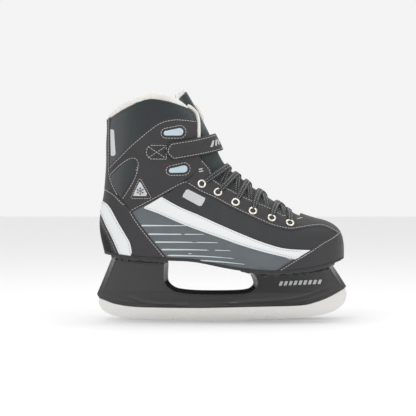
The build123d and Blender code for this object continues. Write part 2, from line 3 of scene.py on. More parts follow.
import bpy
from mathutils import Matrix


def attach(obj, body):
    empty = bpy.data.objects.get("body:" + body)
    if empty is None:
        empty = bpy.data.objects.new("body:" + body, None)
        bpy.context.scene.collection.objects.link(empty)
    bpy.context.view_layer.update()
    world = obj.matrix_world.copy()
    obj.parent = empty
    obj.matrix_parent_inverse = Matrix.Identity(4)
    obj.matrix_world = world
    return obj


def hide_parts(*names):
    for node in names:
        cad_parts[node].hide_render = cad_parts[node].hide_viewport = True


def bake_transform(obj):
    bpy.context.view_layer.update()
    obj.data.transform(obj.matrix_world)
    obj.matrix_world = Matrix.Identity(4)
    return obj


bl_info = {
    "name": "Ice skate looks",
    "version": (1, 0, 0),
    "blender": (4, 5, 0),
    "location": "View3D > Sidebar > Ice skate",
    "description": "Builds the visual pieces of a soft recreational ice skate on its CAD frame",
    "category": "Object",
}

import bmesh
import bpy
import numpy as np
from mathutils import Vector, noise
from mathutils.bvhtree import BVHTree

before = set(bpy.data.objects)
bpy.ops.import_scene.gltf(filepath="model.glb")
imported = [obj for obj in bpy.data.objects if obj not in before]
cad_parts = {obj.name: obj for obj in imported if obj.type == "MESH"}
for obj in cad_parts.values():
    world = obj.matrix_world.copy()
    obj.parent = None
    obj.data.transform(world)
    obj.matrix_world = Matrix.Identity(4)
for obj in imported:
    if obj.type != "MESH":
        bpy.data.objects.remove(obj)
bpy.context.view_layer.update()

MM = 0.001
TINY = 1e-9
ON_LINE = 1e-7
RIM = 1e-4

# ------------------------------------------------------------------ the last, in millimetres
# x and z of the fan point, turn, near, widest and far reach, half width, shift, crown and base roundings
FAN_Z = 215.0
LAST = np.array([
    (140.6, FAN_Z, 0, 137.0, 138.5, 140, 0.6, 6.0, 2.0, 2),
    (140.5, FAN_Z, 0, 130.5, 133, 147, 3.2, 6.0, 2.1, 3),
    (140.2, FAN_Z, 0, 126.5, 130, 154, 5.4, 6.0, 2.2, 4),
    (139.5, FAN_Z, 0, 122.0, 128, 158, 9.5, 6.0, 2.3, 5),
    (138.2, FAN_Z, 0, 117.0, 128, 160, 16.0, 5.8, 2.3, 5),
    (135.5, FAN_Z, 0, 111.5, 128, 161, 23.0, 5.5, 2.3, 5),
    (130.0, FAN_Z, 0, 106.0, 129, 163, 31.6, 5.0, 2.3, 5),
    (120.0, FAN_Z, 0, 101.0, 131, 167, 40.5, 4.0, 2.3, 5),
    (105.0, FAN_Z, 0, 97.0, 135, 172, 46.9, 2.5, 2.3, 5),
    (85.0, FAN_Z, 0, 89.5, 139, 176, 49.5, 1.0, 2.1, 5),
    (62.0, FAN_Z, 0, 76.0, 141, 179, 51.0, 0.0, 1.9, 5),
    (40.0, FAN_Z, 0, 61.7, 141, 182, 50.0, -1.0, 1.8, 5),
    (40.0, FAN_Z, 15, 53.0, 140, 181, 46.0, -2.5, 1.75, 5),
    (40.0, FAN_Z, 30, 50.0, 140, 194, 40.5, -2.5, 1.8, 4.5),
    (40.0, FAN_Z, 42, 48.7, 140, 236, 38.0, -1.0, 1.9, 3.4),
    (40.0, FAN_Z, 52, 47.8, 140, 221, 37.0, 0, 2.0, 2.6),
    (40.0, FAN_Z, 60, 47.2, 134, 208, 37.3, 0, 2.1, 2.4),
    (40.0, FAN_Z, 69, 47.0, 126, 187.5, 38.5, 0, 2.2, 2.2),
    (40.0, FAN_Z, 79, 48.5, 118, 175.6, 40.5, 0, 2.3, 2.2),
    (40.0, FAN_Z, 90, 52.0, 112, 171.7, 42.5, 0, 2.4, 2.2),
    (40.0, 235, 90, 62.0, 117, 171.7, 44.5, 0, 2.5, 2.3),
    (40.0, 255, 90, 73.0, 122, 171.7, 46.0, 0, 2.5, 2.3),
    (40.0, 280, 90, 88.0, 130, 172.5, 46.5, 0, 2.5, 2.3),
])

# ------------------------------------------------------------------ seams in side view, in millimetres
SOLE = [(-150, 78.8), (-128, 76.6), (-105, 73.6), (-83, 71.9), (-60, 70.8), (-41, 70.2), (-25, 68.4),
        (-2, 63.8), (18, 60.3), (39, 58), (62, 56.8), (91, 59.2), (114, 63.2), (131.7, 68.4), (150, 75.5)]
COLLAR = [(-150, 227), (-140, 228), (-127, 235.5), (-117.7, 241.3), (-106, 247), (-94.5, 252.3),
          (-80, 255.4), (-65.5, 253.5), (-54, 251), (-42, 247), (-34, 243.6), (-29.6, 237.8), (-28.4, 230)]
THROAT = [(-28.4, 213), (-25, 190), (-13.3, 176), (-7.5, 163), (16.8, 149), (35.4, 140), (55, 132),
          (71, 123)]
LINING = [(-150, 233), (-140, 235), (-129.3, 241.3), (-117.7, 249.4), (-106, 255.2), (-94.5, 259.3),
          (-83, 262.2), (-71.3, 263.3), (-62, 262.2), (-50, 257.5), (-40, 251), (-32, 244.5), (-25, 238)]
EYESTAY_LOW = [(-42, 159), (-25, 148.5), (-7.5, 140.4), (10, 131), (27, 123), (44.7, 114.8), (56, 110),
               (68, 106.7), (79.5, 105), (97, 107.3), (112, 108.4), (122, 105.8), (133, 99.5)]
ANKLE_TOP = [(-134, 172), (-126, 182), (-117.7, 190), (-106, 202), (-94.5, 212), (-83, 221.6), (-71, 229.7),
             (-59.7, 233), (-48, 233.7), (-28.4, 231.4)]
ANKLE_LOW = [(-102.7, 126.4), (-83, 137), (-68, 145), (-54, 153), (-42, 159)]
BACKSTAY = [(-127, 236), (-127.4, 205), (-127.6, 180), (-126, 164.7), (-120, 150.8), (-112, 137),
            (-102.7, 124)]
HEEL_RIGHT = [(-102.7, 126.4), (-94.5, 113.7), (-83, 98.6), (-71.3, 84.7), (-56, 66)]
HEEL_TOP = [(-150, 156), (-133, 153), (-128, 150.8), (-122, 147), (-112, 137)]
BAND_TOP = [(-150, 142), (-136.3, 138), (-128.2, 132.2), (-117.7, 113.7), (-109.6, 99.8), (-103.8, 88.2),
            (-101, 66)]
BAND_LOW = [(-150, 128), (-139.2, 124), (-131.7, 109), (-124.7, 95), (-112, 66)]
STRIPE_TOP = [(-69, 143.8), (-48, 132.2), (-25, 122.4), (-2, 112), (21.5, 102), (44.7, 92.8), (68, 85.8),
              (88, 83.7), (106, 83.4)]
STRIPE_LOW = [(-90.5, 131), (-71.3, 124), (-48, 113.7), (-25, 105), (-2, 97), (21.5, 88.7), (44.7, 81.8),
              (68, 76), (80, 73.2), (96, 69.5)]
TOE_EDGE = [(150, 106), (135.7, 103.6), (126, 98), (114.3, 92.2), (102.7, 84.7), (91, 77.7), (79.5, 70.8),
            (68, 63.8), (50, 52)]
INSET = [(-126.4, 167), (-117.7, 176), (-108, 183.6), (-101, 186.4), (-97.2, 183.6), (-97.2, 176),
         (-101, 164.7), (-107.5, 153), (-114.5, 142.7), (-122.4, 154.3), (-126.6, 162), (-126.4, 167)]
EYELETS = [(-23.2, 158.3), (-4.6, 148.5), (15.7, 136.9), (35.4, 127), (56.8, 118.9), (77.7, 113.1)]


# ------------------------------------------------------------------ the surface of the last
def catmull(rows, s):
    """Smooth values between table rows at fractional row numbers."""
    s = np.clip(np.asarray(s, float), 0, len(rows) - 1)
    i = np.clip(np.floor(s).astype(int), 0, len(rows) - 2)
    t = (s - i)[..., None]
    p1, p2 = rows[i], rows[i + 1]
    p0 = rows[np.maximum(i - 1, 0)]
    p3 = rows[np.minimum(i + 2, len(rows) - 1)]
    square = (2 * p0 - 5 * p1 + 4 * p2 - p3) * t**2
    cube = (3 * p1 - p0 - 3 * p2 + p3) * t**3
    return 0.5 * (2 * p1 + (p2 - p0) * t + square + cube)


def last_point(s, v):
    """Points of the boot's base surface: s along the sections, v round them, negative on the lateral side."""
    x, z, turn, near, widest, far, half, shift, crown, base = np.moveaxis(catmull(LAST, s), -1, 0)
    c, n = np.cos(v), np.sin(v)
    rounding = np.where(c >= 0, crown, base)
    end = np.where(c >= 0, near, far)
    along = widest + (end - widest) * np.abs(c) ** (2 / rounding)
    across = shift + np.sign(n) * half * np.abs(n) ** (2 / rounding)
    turn = np.radians(turn)
    return np.stack([x - along * np.sin(turn), across, z - along * np.cos(turn)], -1)


def last_normal(s, v):
    """Outward unit normals of the base surface."""
    ds, dv = 0.03, 0.012
    low, high = np.maximum(s - ds, 0.02), np.minimum(s + ds, len(LAST) - 1)
    along = last_point(high, v) - last_point(low, v)
    round_ = last_point(s, v + dv) - last_point(s, v - dv)
    normal = np.cross(round_, along)
    return normal / np.maximum(np.linalg.norm(normal, axis=-1, keepdims=True), TINY)


def surface(uv):
    """Points and outward normals of the base surface at rows of s and v."""
    return last_point(uv[:, 0], uv[:, 1]), last_normal(uv[:, 0], uv[:, 1])


# ------------------------------------------------------------------ side view fields
def smooth_run(points, steps=6):
    """A run of points as a fine smooth polyline, or itself if it has two points."""
    points = np.array(points, float)
    if len(points) < 3:
        return points
    return catmull(points, np.linspace(0, len(points) - 1, (len(points) - 1) * steps + 1))


def ring(*runs):
    """A closed outline made of runs."""
    return np.concatenate([smooth_run(run) for run in runs])


def segment_distance(p, a, b):
    """Distance of side view points from the nearest of the segments from a to b."""
    ab = b - a
    t = np.clip(((p[:, None] - a) * ab).sum(-1) / np.maximum((ab * ab).sum(-1), TINY), 0, 1)
    return np.linalg.norm(p[:, None] - (a + t[..., None] * ab), axis=-1).min(1)


def run_distance(p, run):
    """Distance of side view points from an open run."""
    return segment_distance(p, run[:-1], run[1:])


def inside_distance(p, outline):
    """Signed distance of side view points from an outline, positive inside."""
    a, b = outline, np.roll(outline, -1, 0)
    distance = segment_distance(p, a, b)
    crosses = (a[:, 1] > p[:, None, 1]) != (b[:, 1] > p[:, None, 1])
    rise = np.where(np.abs(b[:, 1] - a[:, 1]) < TINY, TINY, b[:, 1] - a[:, 1])
    at = a[:, 0] + (p[:, None, 1] - a[:, 1]) * (b[:, 0] - a[:, 0]) / rise
    odd = (crosses & (p[:, None, 0] < at)).sum(1) % 2 == 1
    return np.where(odd, distance, -distance)


def sole_z(x):
    """Height of the sole line at x."""
    run = smooth_run(SOLE)
    return np.interp(x, run[:, 0], run[:, 1])


UPPER = ring(
    [(x, z + 2.6) for x, z in SOLE], [(150, 140), (92, 140)], [(92, 140), (91, 117)], [(91, 117), (71, 123)],
    THROAT[::-1], [(-28.4, 213), (-28.4, 230)], COLLAR[::-1],
)


# ------------------------------------------------------------------ sheets that are cut along level lines
class Sheet:
    """A faceted domain whose faces can be split along the level line of any field on its points."""

    def __init__(self, points, faces):
        self.points = [tuple(p) for p in points]
        self.faces = faces

    def array(self):
        """The points as an array."""
        return np.array(self.points)

    def cut(self, field, level=0.0, keep=False):
        """Split the faces along a level, keep only what is above it if asked, and return the new edges."""
        values = list(field(self.array()) - level)
        made, edges, faces = {}, [], []

        def crossing(i, j):
            key = (i, j) if i < j else (j, i)
            if key not in made:
                a, b = values[key[0]], values[key[1]]
                t = a / (a - b)
                p, q = self.points[key[0]], self.points[key[1]]
                made[key] = len(self.points)
                self.points.append(tuple(m + (n - m) * t for m, n in zip(p, q)))
                values.append(0.0)
            return made[key]

        for face in self.faces:
            ends = [values[i] for i in face]
            if min(ends) > -ON_LINE:
                faces.append(face)
                continue
            if max(ends) < ON_LINE:
                if not keep:
                    faces.append(face)
                continue
            above, below, line = [], [], []
            for i, j in zip(face, face[1:] + face[:1]):
                a, b = values[i], values[j]
                if a >= 0:
                    above.append(i)
                if a <= 0:
                    below.append(i)
                if a == 0:
                    line.append(i)
                if a * b < 0:
                    k = crossing(i, j)
                    above.append(k)
                    below.append(k)
                    line.append(k)
            if len(above) > 2:
                faces.append(tuple(above))
            if len(below) > 2 and not keep:
                faces.append(tuple(below))
            if len(line) == 2:
                edges.append(tuple(line))
        self.faces = faces
        return edges

    def tidy(self):
        """Drop the points that no face uses."""
        used = sorted({i for face in self.faces for i in face})
        place = {old: new for new, old in enumerate(used)}
        self.points = [self.points[i] for i in used]
        self.faces = [tuple(place[i] for i in face) for face in self.faces]


GRID_ROWS = 190
GRID_QUARTER = 49
GRID_CROWDING = 1.7


def last_grid():
    """The whole base surface as a grid of s and v."""
    s = np.linspace(0, len(LAST) - 1, GRID_ROWS)
    # closer together at the widest lines, where the sections turn fastest
    quarter = np.pi / 2 * np.linspace(0, 1, GRID_QUARTER) ** GRID_CROWDING
    half = np.concatenate([np.pi / 2 - quarter[::-1], np.pi / 2 + quarter[1:]])
    v = np.concatenate([-half[::-1], half[1:]])
    points = [(a, b) for a in s for b in v]
    wide = len(v)
    faces = [
        (i * wide + j, i * wide + j + 1, (i + 1) * wide + j + 1, (i + 1) * wide + j)
        for i in range(len(s) - 1)
        for j in range(wide - 1)
    ]
    return points, faces


GRID_POINTS, GRID_FACES = last_grid()
GRID = np.array(GRID_POINTS)
GRID_XYZ = last_point(GRID[:, 0], GRID[:, 1])
BVH = BVHTree.FromPolygons([Vector(p) for p in GRID_XYZ], GRID_FACES)


def sheet_where(field, margin=5.0):
    """The part of the base surface where a field of its side view is above minus a margin."""
    near = field(GRID) > -margin
    faces = [face for face in GRID_FACES if near[face[0]] or near[face[1]] or near[face[2]] or near[face[3]]]
    sheet = Sheet(GRID_POINTS, faces)
    sheet.tidy()
    return sheet


def cut_sheet(field, levels=(), spine=None):
    """The base surface inside a field, with extra lines at distances from its edge and along a spine."""
    sheet = sheet_where(field)
    if spine is not None:
        sheet.cut(spine)
    sheet.cut(field, 0.0, keep=True)
    for level in levels:
        sheet.cut(field, level)
    return sheet


def side_of(uv):
    """Side view places of surface points, and their Y."""
    xyz = last_point(uv[:, 0], uv[:, 1])
    return xyz[:, [0, 2]], xyz[:, 1]


def outline_field(outline, side=0):
    """A field on the surface: distance inside a side view outline, on one side or on both."""

    def field(uv):
        places, y = side_of(uv)
        distance = inside_distance(places, outline)
        return distance if side == 0 else np.minimum(distance, side * y)

    return field


def on_side(x, z, side):
    """The surface's point and outward normal at a place in the side view."""
    middle = Vector((x, side * 200.0, z))
    hit, normal, _, _ = BVH.ray_cast(middle, Vector((0, -side, 0)))
    if hit is None:
        hit, normal, _, _ = BVH.find_nearest(Vector((x, side * 8.0, z)))
    if normal.y * side < 0:
        normal = -normal
    return np.array(hit), np.array(normal)


# ------------------------------------------------------------------ Blender objects
def new_object(name, points, faces, material, smooth=True):
    """A mesh object from millimetre points."""
    mesh = bpy.data.meshes.new(name)
    mesh.from_pydata([tuple(c * MM for c in p) for p in points], [], [tuple(map(int, f)) for f in faces])
    mesh.validate()
    mesh.polygons.foreach_set("use_smooth", [smooth] * len(mesh.polygons))
    piece = bpy.data.objects.new(name, mesh)
    bpy.context.scene.collection.objects.link(piece)
    piece.data.materials.append(material)
    return piece


def weld(piece, distance=0.00002):
    """Join points that coincide and turn the faces outwards."""
    work = bmesh.new()
    work.from_mesh(piece.data)
    bmesh.ops.remove_doubles(work, verts=work.verts, dist=distance)
    bmesh.ops.recalc_face_normals(work, faces=work.faces)
    work.to_mesh(piece.data)
    work.free()


def tube_faces(base, rows, wide):
    """Walls and end caps of a tube whose rows of points start at a number."""
    faces = []
    for r in range(rows - 1):
        for k in range(wide):
            a, b = base + r * wide + k, base + r * wide + (k + 1) % wide
            faces.append((a, b, b + wide, a + wide))
    last = base + (rows - 1) * wide
    faces.append(tuple(range(base + wide - 1, base - 1, -1)))
    faces.append(tuple(range(last, last + wide)))
    return faces


def two_sided(name, sheet, outer, inner, rim, material):
    """A closed skin over a sheet, from its outer and inner points, which are one along the rim."""
    count = len(outer)
    back = [tuple(i if rim[i] else i + count for i in face[::-1]) for face in sheet.faces]
    piece = new_object(name, np.concatenate([outer, inner]), sheet.faces + back, material)
    weld(piece)
    return piece


def keep_nodes(*names):
    """The names that are CAD nodes."""
    return [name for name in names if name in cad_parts]


def settle(piece, body, *nodes):
    """Hang a piece on the body it rides on and hide the CAD nodes it stands for."""
    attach(piece, body)
    present = keep_nodes(*nodes)
    if present:
        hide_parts(*present)


def rounded(distance, radius):
    """Height of a rounded edge from 0 to 1 over a radius."""
    t = 1 - np.clip(distance / radius, 0, 1)
    return np.sqrt(1 - t * t)


# where the rings of one stitch stand along it, and how far they stand off the surface
STITCH_RINGS = np.array([0, 0.16, 0.5, 0.84, 1])
STITCH_LIFTS = np.array([-0.25, 0.12, 0.2, 0.12, -0.25])
THREAD_SIDES = 5
THREAD_FLATNESS = 1.1


def thread(name, lines, material, length=None, gap=0.9, radius=None):
    """Stitches along lines of point and normal pairs: small threads that dip in at both ends."""
    sizes = bpy.context.scene.skate_sizes
    length = length or sizes.stitch / MM
    radius = radius or sizes.thread / MM
    points, faces = [], []
    for line in lines:
        xyz = np.array([p for p, _ in line])
        normals = np.array([n for _, n in line])
        steps = np.linalg.norm(np.diff(xyz, axis=0), axis=1)
        run = np.concatenate([[0], np.cumsum(steps)])
        if run[-1] < length:
            continue
        for begin in np.arange(0, run[-1] - length, length + gap):
            at = begin + STITCH_RINGS * length
            middle = np.stack([np.interp(at, run, xyz[:, k]) for k in range(3)], -1)
            up = np.stack([np.interp(at, run, normals[:, k]) for k in range(3)], -1)
            up /= np.linalg.norm(up, axis=1, keepdims=True)
            along = middle[-1] - middle[0]
            along /= max(np.linalg.norm(along), TINY)
            across = np.cross(along, up)
            faces += tube_faces(len(points), len(STITCH_RINGS), THREAD_SIDES)
            for centre, u, w, h in zip(middle, up, across, STITCH_LIFTS):
                for k in range(THREAD_SIDES):
                    angle = 2 * np.pi * k / THREAD_SIDES
                    rise = u * (h + radius * np.sin(angle))
                    points.append(centre + rise + w * radius * THREAD_FLATNESS * np.cos(angle))
    return new_object(name, points, faces, material) if faces else None


def chain(edges):
    """Join edges that share ends into lines of point numbers."""
    links = {}
    for a, b in edges:
        links.setdefault(a, []).append(b)
        links.setdefault(b, []).append(a)
    lines, seen = [], set()
    starts = [i for i, ends in links.items() if len(ends) == 1] + list(links)
    for start in starts:
        if start in seen:
            continue
        line, here = [start], start
        seen.add(start)
        while True:
            onward = [i for i in links[here] if i not in seen]
            if not onward:
                break
            here = onward[0]
            seen.add(here)
            line.append(here)
        if len(line) > 2:
            lines.append(line)
    return lines


EDGE_SHARES = (0.12, 0.45, 1.0)
GROOVE_DEPTH = 0.35
GROOVE_WIDTH = 0.6
GROOVE_SIDE = 0.7
PUFF_REACH = 6
PANEL_BACK = 0.15
STITCH_MARGIN = 0.8


def panel(name, field, material, body, nodes, base=0.0, thick=1.2, edge=0.9, seams=(), puff=0.0,
          thread_material=None, spine=None):
    """A sewn panel on the last: cut by a field, with rounded edges, seam grooves and real stitches."""
    sheet = cut_sheet(field, [edge * share for share in EDGE_SHARES], spine)
    stitched = []
    for run, inset in seams:
        run = smooth_run(run)

        def beside(uv, run=run):
            return run_distance(side_of(uv)[0], run)

        for level in (inset - GROOVE_SIDE, inset + GROOVE_SIDE):
            if level > edge:
                sheet.cut(beside, level)
        stitched.append((beside, inset, sheet.cut(beside, inset)))
    uv = sheet.array()
    inside = field(uv)
    height = base + thick * rounded(inside, edge)
    if puff:
        height += puff * (1 - np.exp(-np.clip(inside, 0, None) / PUFF_REACH))
    for beside, inset, _ in stitched:
        groove = GROOVE_DEPTH * np.exp(-(((beside(uv) - inset) / GROOVE_WIDTH) ** 2))
        height -= groove * (inside > edge * 0.5)
    xyz, normal = surface(uv)
    outer = xyz + normal * height[:, None]
    piece = two_sided(name, sheet, outer, xyz + normal * (base - PANEL_BACK), inside < RIM, material)
    settle(piece, body, *nodes)
    lines = []
    for beside, inset, edges in stitched:
        for line in chain(edges):
            line = [i for i in line if inside[i] > STITCH_MARGIN]
            if len(line) > 2:
                lines.append([(outer[i], normal[i]) for i in line])
    if lines:
        stitches = thread(name + "_stitches", lines, thread_material or materials["thread"])
        if stitches:
            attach(stitches, body)
    return piece


def tube(name, path, radius, material, ups, sides=10):
    """A closed round tube along points, with an up direction at each."""
    path = np.array(path, float)
    along = np.gradient(path, axis=0)
    along /= np.linalg.norm(along, axis=1, keepdims=True)
    across = np.cross(along, np.array(ups, float))
    across /= np.maximum(np.linalg.norm(across, axis=1, keepdims=True), TINY)
    ups = np.cross(across, along)
    points = []
    for centre, u, w in zip(path, ups, across):
        for k in range(sides):
            a = 2 * np.pi * k / sides
            points.append(centre + w * radius * np.cos(a) + u * radius * np.sin(a))
    return new_object(name, points, tube_faces(0, len(path), sides), material)


# ------------------------------------------------------------------ materials
BLOTCH_SCALE = 60
WEAR_SCALE = 140
WEAR = 0.08
BUMP_HEIGHT = 0.0006


def shader(name, color, roughness, bumps, vary=0.14):
    """A procedural material: softly varied colour and roughness, and bumps of (kind, scale, strength)."""
    material = bpy.data.materials.new(name)
    material.use_nodes = True
    tree = material.node_tree
    bsdf = tree.nodes["Principled BSDF"]
    coords = tree.nodes.new("ShaderNodeTexCoord")

    def cloud(scale, detail=4.0):
        node = tree.nodes.new("ShaderNodeTexNoise")
        node.inputs["Scale"].default_value = scale
        node.inputs["Detail"].default_value = detail
        tree.links.new(coords.outputs["Object"], node.inputs["Vector"])
        return node.outputs["Fac"]

    ramp = tree.nodes.new("ShaderNodeMix")
    ramp.data_type = "RGBA"
    tree.links.new(cloud(BLOTCH_SCALE), ramp.inputs["Factor"])
    ramp.inputs["A"].default_value = (*[c * (1 - vary) for c in color], 1)
    ramp.inputs["B"].default_value = (*[min(1, c * (1 + vary)) for c in color], 1)
    tree.links.new(ramp.outputs["Result"], bsdf.inputs["Base Color"])
    rough = tree.nodes.new("ShaderNodeMapRange")
    tree.links.new(cloud(WEAR_SCALE), rough.inputs["Value"])
    rough.inputs["To Min"].default_value = max(0.02, roughness - WEAR)
    rough.inputs["To Max"].default_value = min(1, roughness + WEAR)
    tree.links.new(rough.outputs["Result"], bsdf.inputs["Roughness"])
    previous = None
    for kind, scale, strength in bumps:
        if kind == "noise":
            height = cloud(scale, 6)
        elif kind == "grain":
            node = tree.nodes.new("ShaderNodeTexVoronoi")
            node.feature = "SMOOTH_F1"
            node.inputs["Scale"].default_value = scale
            tree.links.new(coords.outputs["Object"], node.inputs["Vector"])
            height = node.outputs["Distance"]
        else:
            node = tree.nodes.new("ShaderNodeTexWave")
            node.bands_direction = kind
            node.inputs["Scale"].default_value = scale
            node.inputs["Distortion"].default_value = 0.6
            tree.links.new(coords.outputs["Object"], node.inputs["Vector"])
            height = node.outputs["Fac"]
        bump = tree.nodes.new("ShaderNodeBump")
        bump.inputs["Strength"].default_value = strength
        bump.inputs["Distance"].default_value = BUMP_HEIGHT
        tree.links.new(height, bump.inputs["Height"])
        if previous:
            tree.links.new(previous, bump.inputs["Normal"])
        previous = bump.outputs["Normal"]
    if previous:
        tree.links.new(previous, bsdf.inputs["Normal"])
    return material


materials = {}


def make_materials():
    """Every finish of the skate."""
    leather = [("grain", 900, 0.35), ("noise", 260, 0.2)]
    weave = [("X", 420, 0.5), ("Z", 420, 0.5)]
    colors = bpy.context.scene.skate_colors
    recipes = {
        "leather": (colors.leather, 0.52, leather),
        "panel": ((0.019, 0.020, 0.022), 0.6, leather),
        "collar": (colors.collar, 0.85, [("X", 520, 0.8), ("noise", 300, 0.2)]),
        "grey": (colors.grey, 0.8, weave),
        "tongue": ((0.030, 0.042, 0.045), 0.85, weave),
        "white": (colors.white, 0.5, [("noise", 300, 0.12)]),
        "silver": ((0.52, 0.56, 0.58), 0.35, [("noise", 500, 0.1)]),
        "reflector": (colors.reflector, 0.3, [("grain", 1500, 0.15)]),
        "thread": ((0.56, 0.54, 0.50), 0.8, [("noise", 3000, 0.4)]),
        "grey_thread": ((0.42, 0.43, 0.44), 0.8, [("noise", 3000, 0.4)]),
        "label": ((0.66, 0.67, 0.68), 0.6, [("X", 1200, 0.4), ("Z", 1200, 0.4)]),
        "dark_thread": ((0.05, 0.05, 0.055), 0.8, [("noise", 3000, 0.4)]),
        "fleece": (colors.fleece, 0.95, [("noise", 700, 0.9), ("noise", 1800, 0.6)]),
        "webbing": ((0.028, 0.028, 0.031), 0.75, [("Z", 600, 0.8), ("X", 900, 0.4)]),
        "lace": ((0.022, 0.022, 0.025), 0.85, [("X", 900, 0.6), ("Z", 900, 0.6)]),
        "fleck": ((0.62, 0.62, 0.62), 0.8, [("noise", 2000, 0.3)]),
        "holder": (colors.holder, 0.2, [("noise", 90, 0.03)]),
        "steel": ((0.74, 0.73, 0.71), 0.3, [("X", 500, 0.04)]),
        "nickel": ((0.82, 0.78, 0.68), 0.25, [("noise", 500, 0.05)]),
        "rivet": ((0.05, 0.05, 0.052), 0.35, [("noise", 600, 0.1)]),
        "rubber": ((0.025, 0.025, 0.027), 0.7, [("noise", 500, 0.3)]),
        "board": ((0.32, 0.24, 0.16), 0.8, [("noise", 500, 0.4)]),
        "mark": ((0.50, 0.52, 0.53), 0.5, [("noise", 600, 0.1)]),
    }
    # finishes whose colour varies less than the rest
    even = {"white": 0.025, "steel": 0.02, "label": 0.03, "reflector": 0.04, "nickel": 0.04, "fleece": 0.06}
    for name, (color, roughness, bumps) in recipes.items():
        materials[name] = shader(name, color, roughness, bumps, even.get(name, 0.14))

    def put(name, **values):
        """Set a finish's own sockets, named with underscores."""
        bsdf = materials[name].node_tree.nodes["Principled BSDF"]
        for socket, value in values.items():
            bsdf.inputs[socket.replace("_", " ")].default_value = value

    put("fleece", Sheen_Weight=0.25, Sheen_Roughness=0.5, Subsurface_Weight=0.15, Subsurface_Scale=0.004)
    for name in ("collar", "grey", "tongue", "webbing", "lace"):
        put(name, Sheen_Weight=0.25, Sheen_Roughness=0.4)
    put("holder", Coat_Weight=0.5, Coat_Roughness=0.12, IOR=1.5)
    put("steel", Metallic=1.0, Anisotropic=0.5)
    put("nickel", Metallic=1.0)
    put("rivet", Metallic=0.6)
    put("reflector", Metallic=0.3, Coat_Weight=0.6, Coat_Roughness=0.1)


# ------------------------------------------------------------------ boot
def make_upper():
    """The quarters, collar textile and overlays, with their stitching."""
    upper = outline_field(UPPER)

    def within(outline):
        shape = outline_field(outline)
        return lambda uv: np.minimum(upper(uv), shape(uv))

    collar = ring([(-150, 150), (-126, 146)], [(-126, 146), (-102.7, 122)], ANKLE_LOW,
                  [(-42, 159), (-20, 170)], [(-20, 170), (0, 300)], [(0, 300), (-150, 300)])
    lower = ring([(-150, 158), (-126, 152)], [(-126, 152), (-100, 132)], ANKLE_LOW[1:],
                 [(-42, 164), (-20, 200)], [(-20, 200), (150, 200)], [(150, 40), (-150, 40)])
    vamp = ring(STRIPE_TOP, [(150, 83), (150, 200)], [(-30, 200), (-54, 153)], [(-54, 153), (-69, 143)])
    ankle = ring(ANKLE_TOP, [(-20, 231), (-20, 160)], [(-20, 160), (-42, 159)], ANKLE_LOW[::-1],
                 [(-102.7, 124), (-134, 172)])
    stripe = ring(STRIPE_TOP, [(106, 83.4), (96, 69.5)], STRIPE_LOW[::-1], [(-90.5, 131), (-69, 143.8)])
    eyestay = ring(EYESTAY_LOW, [(133, 99.5), (160, 99.5)], [(160, 99.5), (160, 200)],
                   [(160, 200), (-10, 200)], [(-10, 200), (-25, 192)], [(-25, 192), (-28, 174)],
                   [(-28, 174), (-42, 159)])
    heel = ring(HEEL_RIGHT, [(-56, 60), (-150, 60)], HEEL_TOP, [(-112, 137), (-102.7, 126.4)])
    backstay = ring(BACKSTAY, [(-112, 137), (-122, 147)], [(-128, 150.8), (-150, 156)],
                    [(-150, 156), (-150, 236)])
    band = ring(BAND_TOP, [(-101, 60), (-112, 60)], BAND_LOW[::-1], [(-150, 128), (-150, 142)])
    heel_patch = ring(BAND_LOW, [(-112, 60), (-150, 60)])
    toe = ring(TOE_EDGE, [(50, 52), (160, 52)], [(160, 52), (160, 106)])
    both = ("lateral", "medial")
    grey_thread, dark_thread = materials["grey_thread"], materials["dark_thread"]
    # name, outline, finish, CAD nodes, height of its back, thickness, and what else is its own
    rows = [
        ("quarters", lower, "grey", ["quarter_" + hand for hand in both], -1.5, 1.5, {}),
        ("collar_textile", collar, "collar", ["collar_textile_" + hand for hand in both], -1.5, 1.5,
         {"edge": 1.6, "puff": 1.0, "seams": [(COLLAR, 3.2)], "thread_material": dark_thread}),
        ("vamp", vamp, "panel", ["vamp"], 0, 0.9, {}),
        ("ankle_panels", ankle, "leather", ["ankle_panel_" + hand for hand in both], 0, 1.1,
         {"puff": 0.6, "seams": [(ANKLE_TOP, 2.2), (ANKLE_LOW, 2.0), (INSET[:6], 1.8), (INSET[5:9], 1.8)]}),
        ("ankle_insets", ring(INSET), "collar", ["ankle_inset_" + hand for hand in both], 0.2, 1.9, {}),
        ("side_stripes", stripe, "white", ["side_stripe_" + hand for hand in both], 0.2, 1.3,
         {"seams": [(STRIPE_TOP[:-1], 2.0), (STRIPE_LOW, 2.0)], "thread_material": grey_thread}),
        ("eyestays", eyestay, "leather", ["eyestay_" + hand for hand in both], 0.5, 1.3,
         {"seams": [(EYESTAY_LOW, 2.2), (THROAT[1:], 2.4)]}),
        ("heel_panels", heel, "leather", ["heel_panel_" + hand for hand in both], 0.3, 1.1,
         {"seams": [(HEEL_RIGHT, 2.2), (HEEL_TOP, 2.2)]}),
        ("backstay", backstay, "leather", ["backstay"], 0.3, 1.2, {"seams": [(BACKSTAY, 1.8)]}),
        ("heel_band", band, "white", ["heel_band"], 1.0, 1.2,
         {"seams": [(BAND_TOP, 1.9), (BAND_LOW, 1.9)], "thread_material": grey_thread}),
        ("heel_patch", heel_patch, "leather", ["heel_patch"], 0.6, 0.8, {"seams": [(BAND_LOW, 2.6)]}),
        ("toe_cap", toe, "leather", ["toe_cap"], 0.4, 1.4, {"seams": [(TOE_EDGE, 2.2)]}),
    ]
    for name, outline, finish, nodes, base, thick, more in rows:
        panel(name, within(outline), materials[finish], "boot", nodes, base, thick, **more)


